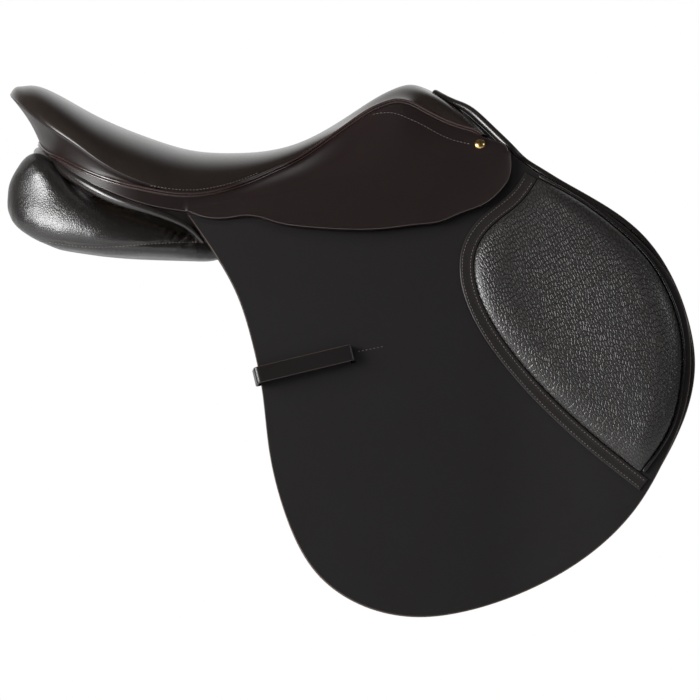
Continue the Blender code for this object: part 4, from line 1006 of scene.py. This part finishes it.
def stitch_tree():
    """Geometry nodes that lay one stitch at each step along a line, square to the surface."""
    made, given = node_group("stitch_row", "GeometryNodeTree",
                             (("Line", "Geometry", None), ("Pitch", "Float", 0.0033),
                              ("Length", "Float", 0.0021),
                              ("Thread", "Float", 0.00065), ("Look", "Material", None)),
                             (("Stitches", "Geometry"),))
    curve = add(made, "GeometryNodeMeshToCurve", {"Mesh": given["Line"]})
    spaced = add(made, "GeometryNodeResampleCurve", {"Curve": curve.outputs[0], "Length": given["Pitch"]},
                 mode="LENGTH")
    ball = add(made, "GeometryNodeMeshUVSphere", {"Segments": 8, "Rings": 5, "Radius": 0.5})
    size = add(made, "ShaderNodeCombineXYZ", {0: given["Length"], 1: given["Thread"], 2: given["Thread"]})
    stitch = add(made, "GeometryNodeTransform", {"Geometry": ball.outputs[0], "Scale": size.outputs[0]})
    smooth = add(made, "GeometryNodeSetShadeSmooth", {"Geometry": stitch.outputs[0]})
    along = add(made, "GeometryNodeInputTangent")
    first = add(made, "FunctionNodeAlignRotationToVector", {"Vector": along.outputs[0]}, axis="X")
    out = add(made, "GeometryNodeInputNamedAttribute", {"Name": "out"}, data_type="FLOAT_VECTOR")
    turn = add(made, "FunctionNodeAlignRotationToVector",
               {"Rotation": first.outputs[0], "Vector": out.outputs[0]}, axis="Z", pivot_axis="X")
    laid = add(made, "GeometryNodeInstanceOnPoints", {"Points": spaced.outputs[0],
                                                      "Instance": smooth.outputs[0],
                                                      "Rotation": turn.outputs[0]})
    real = add(made, "GeometryNodeRealizeInstances", {"Geometry": laid.outputs[0]})
    dressed = add(made, "GeometryNodeSetMaterial", {"Geometry": real.outputs[0], "Material": given["Look"]})
    add(made, "NodeGroupOutput", {"Stitches": dressed.outputs[0]})
    return made


STITCH_TREE = stitch_tree()


def stitch_rows(name, lines, body, sink=0.00012):
    """Rows of stitches along lines of (points, ways out), in metres, as one piece on a body."""
    places, ways, edges = [], [], []
    for points, outward in lines:
        first = len(places)
        places += [tuple(p + n * sink) for p, n in zip(points, outward)]
        ways += [tuple(n) for n in outward]
        edges += [(k, k + 1) for k in range(first, len(places) - 1)]
    mesh = bpy.data.meshes.new(name)
    mesh.from_pydata(places, edges, [])
    mesh.attributes.new("out", "FLOAT_VECTOR", "POINT").data.foreach_set("vector", np.array(ways).ravel())
    piece = in_scene(name, mesh)
    rule = piece.modifiers.new("stitches", "NODES")
    rule.node_group = STITCH_TREE
    sockets = {item.name: item.identifier for item in STITCH_TREE.interface.items_tree
               if item.in_out == "INPUT"}
    rule[sockets["Look"]] = thread
    made = finished(piece, name)
    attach(made, body)
    return made


def laid_on(surface, places, side):
    """Points in the side view laid on a surface, with the ways out there, in metres."""
    points, ways = [], []
    for x, z in places:
        hit, normal, _, _ = surface.ray_cast(Vector((x * MM, side * 1.0, z * MM)), Vector((0, -side, 0)))
        if hit is not None:
            points.append(np.array(hit))
            ways.append(np.array(normal))
    return points, ways


seat_surface = surface_of(seat)
x = np.linspace(-92, 20, 90)
seat_line = np.stack([x, welt_line(x) + 2.6], axis=-1)
stitch_rows("seat_stitches", [laid_on(seat_surface, seat_line, side) for name, side in SIDES], "saddle")
for name, side in SIDES:
    band_surface = surface_of(bpy.data.objects[f"insert_band_hide_{name}"])
    t = np.linspace(0.02, 0.985, 200)
    ahead = unit(insert_rear(1.0) - insert_rear(0.97))
    rows = []
    for w in (3.2, 10.8):
        line = beside(insert_rear, t, -w)
        line = np.concatenate([line, line[-1] + ahead * np.array((4, 8, 12))[:, None]])
        rows.append(laid_on(band_surface, line, side))
    stitch_rows(f"band_stitches_{name}", rows, f"flap_{name}")

# Keepers: narrow straps through a slot in each flap and round its rear edge, with their ends glued
# and sewn behind it, to hold the free end of the stirrup leather.
KEEPER_LEATHER = 2.2
KEEPER_ROOM = 7.2
KEEPER_TAIL = 26.0
KEEPER_WRAP = 1.2
STRAP_PLAY = 1.4
FLAP_IN = -FLAP_LEATHER
TAIL_OUT = FLAP_IN - GAP
keeper_hide = hide("keeper_hide", (0.0062, 0.0048, 0.0046), (0.0090, 0.0068, 0.0065), 0.36, 0.0008, 0.35,
                   0.1,
                   raw=(0.06, 0.038, 0.032), raw_width=0.0006)


def rounded(path, radius):
    """A path with its corners rounded."""
    path = [np.array(p, float) for p in path]
    found = [path[0]]
    for before, corner, after in zip(path, path[1:], path[2:]):
        first, last = before - corner, after - corner
        cut = min(radius, np.linalg.norm(first) * 0.5, np.linalg.norm(last) * 0.5)
        first, last = corner + unit(first) * cut, corner + unit(last) * cut
        found += [first * (1 - t)**2 + corner * 2 * t * (1 - t) + last * t * t
                  for t in np.linspace(0, 1, 5)]
    return np.array(found + [path[-1]])


def filled(path, step):
    """A path with points no further apart than a step."""
    found = [path[0]]
    for a, b in zip(path, path[1:]):
        count = max(1, int(np.ceil(np.linalg.norm(b - a) / step)))
        found += [a + (b - a) * k / count for k in range(1, count + 1)]
    return np.array(found)


inside = TAIL_OUT - KEEPER_LEATHER / 2 - 2 * GAP
outside = KEEPER_ROOM + KEEPER_LEATHER / 2
turn = KEEPER_WRAP + KEEPER_LEATHER / 2
keeper_path = rounded([(KEEPER_TAIL * 0.8, inside), (-turn, inside), (-turn, outside),
                       (KEEPER_LENGTH, outside),
                       (KEEPER_LENGTH, inside), (KEEPER_LENGTH + KEEPER_TAIL, inside)], 2.6)
keeper_path = filled(keeper_path, 1.5)
across = np.linspace(-KEEPER_WIDTH / 2, KEEPER_WIDTH / 2, 9)
for name, side in SIDES:
    grid = on_keeper(keeper_path[:, :1], across[None, :], keeper_path[:, 1:])
    keeper = leather(f"keeper_strap_{name}", grid, KEEPER_LEATHER, keeper_hide, side, centred=True,
                     rounding=0.35)
    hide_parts(f"stirrup_keeper_{name}")
    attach(keeper, f"flap_{name}")
    x = np.linspace(114, 135, 8)
    row = laid_on(flap_surfaces[name], np.stack([x, -82.3 + (x - 114) * 0.2], axis=-1), side)
    stitch_rows(f"keeper_stitches_{name}", [row], f"flap_{name}")

# Skirts: smooth, reddish-dyed hide sewn in with the welt, covering the stirrup bars. Each is one leather,
# made here in two pieces that meet at the bend: the part on the seat, and the part below it, which lifts on
# the real saddle for the stirrup leather.
skirt_edge = route([(-44, 45.2), (-32, 40.5), (-6, 38.6), (10, 40.5), (24, 38.6), (38, 34), (66, 29.4),
                    (88, 27.6),
                    (116, 26.7), (144, 28.5), (165, 31.3), (189, 34.5), (208, 42.3), (231, 51.5),
                    (243, 61.6),
                    (252, 74.5), (254, 85.6), (252.5, 100)])
SKIRT_OUT = GAP + SKIRT_LEATHER
SKIRT_STAND = 4.0
SKIRT_COLUMNS, SKIRT_ROWS = 150, 30
TAIL_START = -0.995
# The skirt's raw edge is whitish grey: partly its burnished edge, partly a painted highlight along the
# rounded rim.
skirt_hide = hide("skirt_hide", (0.0104, 0.0064, 0.0062), (0.0140, 0.0086, 0.0082), 0.38, 0.0009, 0.4, 0.06,
                  specular=0.4, raw=(0.060, 0.050, 0.047), raw_width=0.0008)
skirt_surfaces = {}
for name, side in SIDES:
    stations = np.linspace(TAIL_START, bend_station(BEND_REAR) - 1e-4, 90)
    shares = np.r_[np.linspace(0, 0.95, 20), 0.985, 1]
    layers = []
    for depth in (SKIRT_OUT, GAP):
        tail = on_top(stations[:, None], shares[None, :], depth)
        _, below = hung_grid(skirt_edge, SKIRT_COLUMNS, SKIRT_ROWS, depth, 0.0)
        stand = SKIRT_STAND * ease(np.linspace(0, 2, SKIRT_COLUMNS))[:, None]
        stand = stand * np.linspace(0, 1, SKIRT_ROWS)**2
        below = below + hang_normal(below[..., 0], below[..., 2]) * stand[..., None]
        along_bend = bend_station(np.linspace(BEND_REAR, BEND_FRONT, SKIRT_COLUMNS))
        above = on_top(along_bend[:, None], shares[None, :], depth)
        above[:, -1] = below[:, 0]
        layers.append((np.concatenate([tail, above], axis=0), below))
    (fixed, below), (fixed_under, below_under) = layers
    plain = np.zeros(fixed.shape[:2], bool)
    plain[len(stations):, -1] = True
    piece = leather(f"skirt_fixed_{name}", fixed, SKIRT_LEATHER, skirt_hide, side, inner=fixed_under,
                    plain=plain)
    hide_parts(f"skirt_top_{name}")
    skirt_surfaces[name] = surface_of(piece)
    middle, fall = bend_middle(side)
    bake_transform(piece)
    plain = np.zeros(below.shape[:2], bool)
    plain[:, 0] = True
    piece = leather(f"skirt_lifting_{name}", below, SKIRT_LEATHER, skirt_hide, side, inner=below_under,
                    plain=plain)
    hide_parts(f"skirt_{name}")
    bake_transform(piece)
    seam = route([(128, 136.5), (143.5, 138), (158, 133.4), (172, 127), (188.6, 117.8), (202.4, 112.2),
                  (215, 109.2)])
    row = laid_on(skirt_surfaces[name], seam(np.linspace(0, 1, 60)), side)
    stitch_rows(f"skirt_stitches_{name}", [row], "saddle")

# Saddle nails: a plain domed head of brass on each skirt, turned and polished,
# with its shank driven through the leathers into the point of the tree.
NAIL_AT = (0.948, 0.6)
NAIL_RADIUS = 5.2
brass = metal("brass", (500, 500, 500), (0.78, 0.55, 0.22), (0.52, 0.34, 0.12), 0.2, 0.35, 0.05,
              fineness=0.5)
for name, side in SIDES:
    station, share = np.array(NAIL_AT[0]), np.array(NAIL_AT[1])
    centre = on_top(station, share, SKIRT_OUT + 0.2)
    out = unit(on_top(station, share, SKIRT_OUT + 5) - centre)
    along = unit(np.cross(out, (0, 0, 1.0)))
    over = np.cross(along, out)
    profile = [(3.3 * math.sin(a), math.cos(a)) for a in np.linspace(0, math.pi / 2, 12)]
    turn = np.linspace(0, 2 * math.pi, 41)[None, :, None]
    rise, size = (np.array(column)[:, None, None] for column in zip(*profile))
    grid = centre + out * rise + NAIL_RADIUS * size * (np.cos(turn) * along + np.sin(turn) * over)
    nail = grid_piece("nail_surface", grid, brass, tuple(out), side)
    nail = thicken(nail, f"nail_head_{name}", 0.5)
    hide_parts(f"saddle_nail_{name}")
    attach(nail, "saddle")

# Girth straps: three stout straps of bridle leather a side, with a row of holes for the girth's buckles.
# Each is sewn to the girth webs at its top, with two rows of thread, and has a rounded end.
STRAP_WIDTH = 25.0
STRAP_PITCH = 29.0
STRAP_REAR = 48.0
STRAP_RAKE = 0.1
STRAP_TOP = 8.0
STRAP_END = -262.0
STRAP_POINT = 16.0
STRAP_LEATHER = 3.5
STRAP_OUT = TAIL_OUT - KEEPER_LEATHER - STRAP_PLAY
HOLE_RADIUS = 2.3
HOLE_STEP = 19.0
HOLE_COUNT = 11
strap_hide = hide("strap_hide", (0.0150, 0.0110, 0.0100), (0.0230, 0.0160, 0.0140), 0.42, 0.0009, 0.4, 0.1,
                  raw=(0.070, 0.045, 0.036), raw_width=0.0007)


def strap_point(middle, high, down, across, depth):
    z = high - down
    return on_flap(middle + across + down * STRAP_RAKE, z, depth)


def punch_tree():
    """Geometry nodes that set a round punch square to the leather at each point."""
    made, given = node_group("punches", "GeometryNodeTree",
                             (("Places", "Geometry", None), ("Radius", "Float", HOLE_RADIUS * MM),
                              ("Depth", "Float", 0.012)), (("Punches", "Geometry"),))
    punch = add(made, "GeometryNodeMeshCylinder", {"Vertices": 20, "Radius": given["Radius"],
                                                   "Depth": given["Depth"]})
    out = add(made, "GeometryNodeInputNamedAttribute", {"Name": "out"}, data_type="FLOAT_VECTOR")
    turn = add(made, "FunctionNodeAlignRotationToVector", {"Vector": out.outputs[0]}, axis="Z")
    laid = add(made, "GeometryNodeInstanceOnPoints", {"Points": given["Places"],
                                                      "Instance": punch.outputs[0],
                                                      "Rotation": turn.outputs[0]})
    real = add(made, "GeometryNodeRealizeInstances", {"Geometry": laid.outputs[0]})
    add(made, "NodeGroupOutput", {"Punches": real.outputs[0]})
    return made


PUNCH_TREE = punch_tree()
for name, side in SIDES:
    for k in range(3):
        middle = STRAP_REAR + k * STRAP_PITCH
        high = float(bend_point(np.array(middle))[2]) - STRAP_TOP
        length = high - STRAP_END
        down = np.r_[np.linspace(0, length - STRAP_POINT, 90), length - STRAP_POINT * (1 - np.sin(
            np.linspace(0.15, 1, 8) * math.pi / 2))]
        point_share = np.clip((length - down) / STRAP_POINT, 0, 1)
        half = STRAP_WIDTH / 2 * np.maximum(0.1, np.sqrt(1 - (1 - point_share)**2))
        grid = strap_point(middle, high, down[:, None], half[:, None] * np.linspace(-1, 1, 9)[None, :],
                           STRAP_OUT)
        drops = length - 34.0 - HOLE_STEP * np.arange(HOLE_COUNT)
        centres = strap_point(middle, high, drops, 0.0, STRAP_OUT - STRAP_LEATHER / 2) * (1, side, 1) * MM
        ways = hang_normal(middle + drops * STRAP_RAKE, high - drops) * (1, side, 1)
        mesh = bpy.data.meshes.new("punches")
        mesh.from_pydata([tuple(p) for p in centres], [], [])
        mesh.attributes.new("out", "FLOAT_VECTOR", "POINT").data.foreach_set("vector", ways.ravel())
        punches = in_scene("punches", mesh)
        punches.modifiers.new("punches", "NODES").node_group = PUNCH_TREE
        punches = finished(punches, "punches")
        strap = leather(f"girth_strap_hide_{k + 1}_{name}", grid, STRAP_LEATHER, strap_hide, side,
                        cutters=[punches])
        bpy.data.objects.remove(punches)
        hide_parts(f"girth_strap_{k + 1}_{name}")
        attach(strap, f"girth_strap_{k + 1}_{name}")
        box_rows = []
        for across in (-8.5, 8.5):
            drops = np.linspace(3, 42, 14)
            points = strap_point(middle, high, drops, across, STRAP_OUT) * (1, side, 1) * MM
            box_rows.append((points, hang_normal(middle + drops * STRAP_RAKE, high - drops) * (1, side, 1)))
        stitch_rows(f"strap_stitches_{k + 1}_{name}", box_rows, f"girth_strap_{k + 1}_{name}")

# Sweat flaps: a thinner leather on each side, next to the horse, cut in one piece with bare edges.
# Each hangs from the rail under the girth straps, and its top dips in front, below the stirrup bar.
WEB_OUT = STRAP_OUT - STRAP_LEATHER - 3 * GAP
SWEAT_OUT = WEB_OUT - 1.0 - GAP
SWEAT_FLAP_LEATHER = 3.0
SWEAT_REAR, SWEAT_FRONT = 4.0, 262.0
SWEAT_TOP, SWEAT_DIP = 6.0, 38.0
DIP_FROM, DIP_LENGTH = 94.0, 40.0
sweat_edge = route([(4, 48), (10, 10), (18, -35), (30, -76), (38, -122), (45, -172), (60, -226), (92, -272),
                    (130, -297),
                    (171, -304), (225, -299), (290, -272), (345, -230), (380, -184), (402, -132), (408, -90),
                    (401, -40),
                    (380, -5), (345, 25), (300, 46), (262, 58)])
sweat_hide = hide("sweat_flap_hide", (0.0180, 0.0140, 0.0120), (0.0260, 0.0200, 0.0170), 0.48, 0.0013, 0.3,
                  0.25,
                  raw=(0.075, 0.050, 0.040), raw_width=0.0008)
for name, side in SIDES:
    share = np.linspace(0, 1, 130)
    x = SWEAT_REAR + (SWEAT_FRONT - SWEAT_REAR) * share
    z = bend_point(x)[:, 2] - SWEAT_TOP - SWEAT_DIP * ease((x - DIP_FROM) / DIP_LENGTH)
    first = np.stack([x, z], axis=-1)
    down = (1 - (1 - np.linspace(0, 1, 44))**1.35)[None, :, None]
    place = first[:, None] + (sweat_edge(share) - first)[:, None] * down
    grid = on_flap(place[..., 0], place[..., 1], SWEAT_OUT)
    sweat = leather(f"sweat_flap_leather_{name}", grid, SWEAT_FLAP_LEATHER, sweat_hide, side)
    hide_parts(f"sweat_flap_{name}")
    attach(sweat, "saddle")


# Panels: two cushions of soft panel hide flocked with wool, which rest on the horse.
# Each is crowned, drawn in at its gusset seam, and puckered where the hide is gathered to the welt.
def cloth_filled(node, name, look, voxel, pressure, cap, start_inset):
    """A cushion blown up a little from a solid of the frame, by cloth simulation."""
    piece = rounded_copy(node, name, look, 40, 60, 1)
    even = piece.modifiers.new("even", "REMESH")
    even.mode = "VOXEL"
    even.voxel_size = voxel
    even.use_smooth_shade = True
    piece = finished(piece, name)
    mesh = piece.data
    rest = places_of(mesh) - np.array([v.normal for v in mesh.vertices]) * start_inset
    move_points(mesh, rest)
    cloth = piece.modifiers.new("cloth", "CLOTH")
    cloth.settings.quality = 6
    cloth.settings.mass = 0.3
    cloth.settings.tension_stiffness = 25
    cloth.settings.compression_stiffness = 8
    cloth.settings.bending_stiffness = 0.5
    cloth.settings.use_pressure = True
    cloth.settings.uniform_pressure_force = pressure
    cloth.settings.effector_weights.gravity = 0
    scene = bpy.context.scene
    for number in range(1, 21):
        scene.frame_set(number)
    blown = piece.evaluated_get(bpy.context.evaluated_depsgraph_get()).to_mesh()
    moved = places_of(blown) - rest
    piece.modifiers.remove(cloth)
    scene.frame_set(1)
    length = np.linalg.norm(moved, axis=1, keepdims=True)
    moved = moved * np.minimum(1, cap / np.maximum(length, 1e-9))
    move_points(mesh, rest + moved)
    soft = piece.modifiers.new("soft", "SMOOTH")
    soft.iterations = 14
    smooth = piece.modifiers.new("finer", "SUBSURF")
    smooth.levels = smooth.render_levels = 1
    return finished(piece, name)


# The panel's grain carries painted shade in its creases, so its pebble tops read as lit.
panel_hide = hide("panel_hide", (0.0105, 0.0090, 0.0084), (0.0150, 0.0128, 0.0118), 0.31, 0.0021, 0.36, 0.26,
                  pull=0.3, specular=0.7, painted_shade_darkness=0.4, painted_shade_strength=0.8)
GUSSET_SEAM = cubic([(-206, 30), (-192, 22), (-174, 18.4), (-146, 14.7), (-118, 13.8), (-89, 15.6),
                     (-62, 17.5),
                     (-28, 18.4), (20, 20), (60, 24)])
PUCKER_STEP, PUCKER_DEPTH = 4.6, 0.35
GROOVE_HALF, GROOVE_DEPTH = 2.2, 1.6
SCALLOP_STEP, SCALLOP_DEPTH = 9.0, 0.6
GATHER_DEPTH = 1.7
panel_rest = cloth_filled("panel_left", "panel_form", panel_hide, voxel=0.005, pressure=4.0, cap=0.0035,
                          start_inset=0.0022)
PANEL_TOP = [(-166, 86), (-151, 75.5), (-133.5, 65), (-106, 51.5), (-83, 44.5), (-61, 37), (-40, 27),
             (-10, 24)]
PANEL_BASE = [(-166, 12), (-131.6, 7.4), (-104, 4.6), (-68, 3.4), (-33, 1), (-10, -2)]
PANEL_REAR = [(-166, 100), (-176, 105), (-186, 106.5), (-197, 99), (-204, 86), (-209.8, 69), (-211.6, 55.2),
              (-208.8, 40.5),
              (-203, 32.2), (-194, 25.8), (-176.6, 16.6), (-166, 12)]
places = places_of(panel_rest.data) / MM
hub = np.array((-166.0, 50.0))


def reach_by_turn(points, turns):
    """How far points reach from the hub in the side view, by the way they lie: 0 is down, 1 is up."""
    off = np.asarray(points, float) - hub
    turn = np.arctan2(-off[:, 0], -off[:, 1]) / math.pi
    far = np.linalg.norm(off, axis=1)
    if len(points) < 50:
        order = np.argsort(turn)
        return np.interp(turns, turn[order], far[order])
    found = [far[np.abs(turn - t) < 0.04].max(initial=1.0) for t in turns]
    return np.convolve(np.pad(found, 1, "edge"), (0.25, 0.5, 0.25), "valid")


turns = np.linspace(0, 1, 33)
rear = places[:, 0] < hub[0]
wanted = reach_by_turn(route(PANEL_REAR)(np.linspace(0, 1, 45)), turns)
stretch_by_turn = wanted / reach_by_turn(places[rear][:, ::2], turns)
off = places[:, ::2] - hub
turn = np.arctan2(-off[:, 0], -off[:, 1]) / math.pi
near_outside = ease((places[:, 1] - 48) / 45)
stretch = 1 + (np.interp(turn, turns, stretch_by_turn) - 1) * ease((places[:, 1] - 26) / 34)
moved = hub + off * stretch[:, None]
bins = np.linspace(hub[0], -10, 36)
outer = [places[(np.abs(places[:, 0] - b) < 5) & (places[:, 1] > 85), 2] for b in bins]
highest, lowest = np.array([z.max() for z in outer]), np.array([z.min() for z in outer])
centre = (highest + lowest) / 2
up_share = (cubic(PANEL_TOP)(bins) - centre) / (highest - centre)
down_share = (centre - cubic(PANEL_BASE)(bins)) / (centre - lowest)
fade = ease((-12 - bins) / 34)
up_share, down_share = 1 + (up_share - 1) * fade, 1 + (down_share - 1) * fade
middle_z = np.interp(places[:, 0], bins, centre)
rise = places[:, 2] - middle_z
grown = np.where(rise > 0, np.interp(places[:, 0], bins, up_share),
                 np.interp(places[:, 0], bins, down_share))
fore_z = middle_z + rise * (1 + (grown - 1) * near_outside)
join = ease((places[:, 0] - hub[0] + 6) / 12)
forward = places[:, 0] < -12
places[:, 0] = np.where(rear, moved[:, 0], places[:, 0])
z_rear = np.where(rear, moved[:, 1], fore_z)
places[:, 2] = np.where(forward, z_rear * (1 - join) + fore_z * join, places[:, 2])
taper = np.maximum(0, -118 - places[:, 0])**2 * 0.0027 * ease((places[:, 1] - 30) / 60)
places[:, 1] -= taper * (1 - 0.7 * ease((places[:, 2] - 62) / 34))
move_points(panel_rest.data, places * MM)
soft = panel_rest.modifiers.new("soft", "SMOOTH")
soft.iterations = 36
panel_rest = finished(panel_rest, "panel_left")
places = places_of(panel_rest.data) / MM
normals = np.array([v.normal for v in panel_rest.data.vertices])
seam_away = places[:, 2] - GUSSET_SEAM(places[:, 0])
outer_wall = ease((places[:, 1] - 95) / 15) * ease((20 - places[:, 0]) / 30)
rear_wall = ease((-190 - places[:, 0]) / 12)
shown = np.maximum(outer_wall, rear_wall)
groove = np.exp(-(seam_away / GROOVE_HALF)**2) * GROOVE_DEPTH * shown
pucker = np.sin(places[:, 0] * 2 * math.pi / PUCKER_STEP) * np.exp(-np.abs(seam_away + 5) / 5.0)
pucker = pucker * PUCKER_DEPTH * shown
under = np.clip((6 - places[:, 2]) / 8, 0, 1) * ease((places[:, 1] - 80) / 30)
scallop = np.sin(places[:, 0] * 2 * math.pi / SCALLOP_STEP + 0.8 * np.sin(places[:, 0] / 23.0))
scallop = scallop * SCALLOP_DEPTH * under
wrinkles = np.sin(places[:, 0] * 0.55 - places[:, 2] * 0.62 + 2.0 * np.sin(places[:, 0] * 0.11))
gather = np.exp(-((places[:, 0] + 44) / 22)**2 - ((places[:, 2] - 26) / 11)**2)
gather = gather * GATHER_DEPTH * outer_wall * wrinkles
places = places + normals * (-groove + pucker + scallop + gather)[:, None]
places[:, 2] = np.maximum(places[:, 2], -3.5)
move_points(panel_rest.data, places * MM)
for name, side in SIDES:
    mesh = panel_rest.data.copy()
    if side < 0:
        shape = bmesh.new()
        shape.from_mesh(mesh)
        for vert in shape.verts:
            vert.co.y = -vert.co.y
        bmesh.ops.reverse_faces(shape, faces=shape.faces[:])
        shape.to_mesh(mesh)
        shape.free()
    panel = in_scene(f"panel_cushion_{name}", mesh)
    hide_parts(f"panel_{name}")
    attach(panel, "saddle")
    x = np.linspace(-198, -20, 150)
    row = laid_on(surface_of(panel), np.stack([x, GUSSET_SEAM(x)], axis=-1), side)
    stitch_rows(f"gusset_stitches_{name}", [row], "saddle", sink=0.0001)
bpy.data.objects.remove(panel_rest)

# Panel welt: a thick roll of panel hide round the rear, where the panel is sewn up to the skirts,
# and a lining of the same hide between the panels, along the gullet.
welt_path = route([(-182, 0, 101.5), (-179, 30, 99.6), (-169, 64, 92.4), (-151.2, 93, 80),
                   (-133.6, 111, 69.5),
                   (-106, 125, 56), (-83, 130, 48.6), (-61.6, 130, 40.8), (-40.5, 128, 29.6),
                   (-30, 126, 19)])
PANEL_WELT_RADIUS = 5.2
roll_hide = hide("roll_hide", (0.0110, 0.0090, 0.0085), (0.0150, 0.0120, 0.0112), 0.27, 0.0012, 0.35, 0.02,
                 specular=0.6)
for name, side in SIDES:
    t = np.linspace(0.004, 1, 130)
    size = PANEL_WELT_RADIUS * (1 - 0.65 * ease((t - 0.55) / 0.45))
    welt = bead(f"panel_welt_roll_{name}", welt_path(t), size, roll_hide, side, 16)
    t = np.linspace(0, 1, 90)
    path = welt_path(t)
    inward = unit(np.array((ROUND_FROM, 0, 0)) - path * (1, 1, 0))
    share = np.linspace(-1, 1, 15)[None, :, None]
    over, below = 19 + 15 * ease((t - 0.6) / 0.3), 24 * (1 - ease((t - 0.4) / 0.2))
    height = np.where(share < 0, below[:, None, None], over[:, None, None])
    lap = path[:, None] + inward[:, None] * (3 + 9 * np.abs(share)) + np.array((0, 0, 1.0)) * height * share
    lap = leather(f"panel_welt_lap_{name}", lap, 1.2, roll_hide, side)
    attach(lap, "saddle")
    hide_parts(f"panel_welt_{name}")
    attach(welt, "saddle")
lining = fuller("gullet_lining", "gullet_lining_hide", panel_hide, 2)
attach(lining, "saddle")

# Front edge: the panels' front roll stands out a little past the flaps, and a facing of skirt hide
# closes the pommel between the seat and the gullet.
ROLL_DEPTH = -8.4
FLANGE_WIDTH, FLANGE_OUT, FLANGE_LEAN = 25, -9.0, 4.4
roll_top = [(185, 4, 156.6), (195, 20, 150.8), (203.5, 30, 146.8), (213.5, 39, 142.3), (228, 51, 130.5),
            (242, 59, 116.8), (255, 66.5, 103.8)]
roll_line = route([(264, 94.6), (275, 87), (294, 75), (334, 52), (371.5, 24), (397.5, -12), (415, -58),
                   (420, -90),
                   (414.5, -131), (397, -173), (380, -203), (369, -221)])
roll_size = cubic([(0, 3.3), (0.12, 3.8), (0.7, 3.2), (1, 2.2)])
for name, side in SIDES:
    seen = roll_line(np.linspace(0, 1, 22))
    line = route(np.concatenate([roll_top, seen_on_flap(seen[:, 0], seen[:, 1], ROLL_DEPTH)]))
    t = np.linspace(0, 1, 220)
    roll = bead(f"front_roll_{name}", line(t), roll_size(t), roll_hide, side, 16)
    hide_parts(f"panel_front_roll_{name}")
    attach(roll, "saddle")
    seen = roll_line(np.linspace(0.2, 0.985, 80))
    inward = unit(np.array((235.0, -115.0)) - seen)
    share = np.linspace(0, 1, 7)
    place = seen[:, None] + inward[:, None] * FLANGE_WIDTH * share[None, :, None]
    grid = on_flap(place[..., 0], place[..., 1], FLANGE_OUT - FLANGE_LEAN * share[None, :])
    flange = leather(f"front_roll_flange_{name}", grid, 1.0, sweat_hide, side)
    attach(flange, "saddle")
FACING_WIDTH = 19.0
facing_line = route([(186, 0, 152), (187, 10, 151.3), (197, 26, 144), (211, 39, 134.5), (224, 48, 122.5),
                     (237, 55, 108),
                     (247, 60, 94)])
t = np.linspace(0, 1, 60)
line = facing_line(t)
line = np.concatenate([(line * (1, -1, 1))[:0:-1], line])
ahead = np.gradient(line, axis=0)
inward = unit(point(0, ahead[:, 2], -ahead[:, 1]))
share = np.linspace(-0.12, 1, 12)[None, :, None]
pommel = leather("pommel_facing_hide", line[:, None] + (inward * FACING_WIDTH + (-4, 0, 0))[:, None] * share,
                 2.5,
                 skirt_hide, facing=(1, 0, 0))
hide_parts("pommel_facing")
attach(pommel, "saddle")
pommel_line = route([(187, 6, 150), (196, 22, 144.5), (205, 31, 139.5), (214, 38, 133), (223, 45, 125),
                     (232, 52, 116.5),
                     (241, 58, 107.5), (249, 63, 99.5)])
for name, side in SIDES:
    piping = bead(f"pommel_piping_{name}", pommel_line(np.linspace(0, 1, 70)), 3.0, roll_hide, side, 14)
    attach(piping, "saddle")
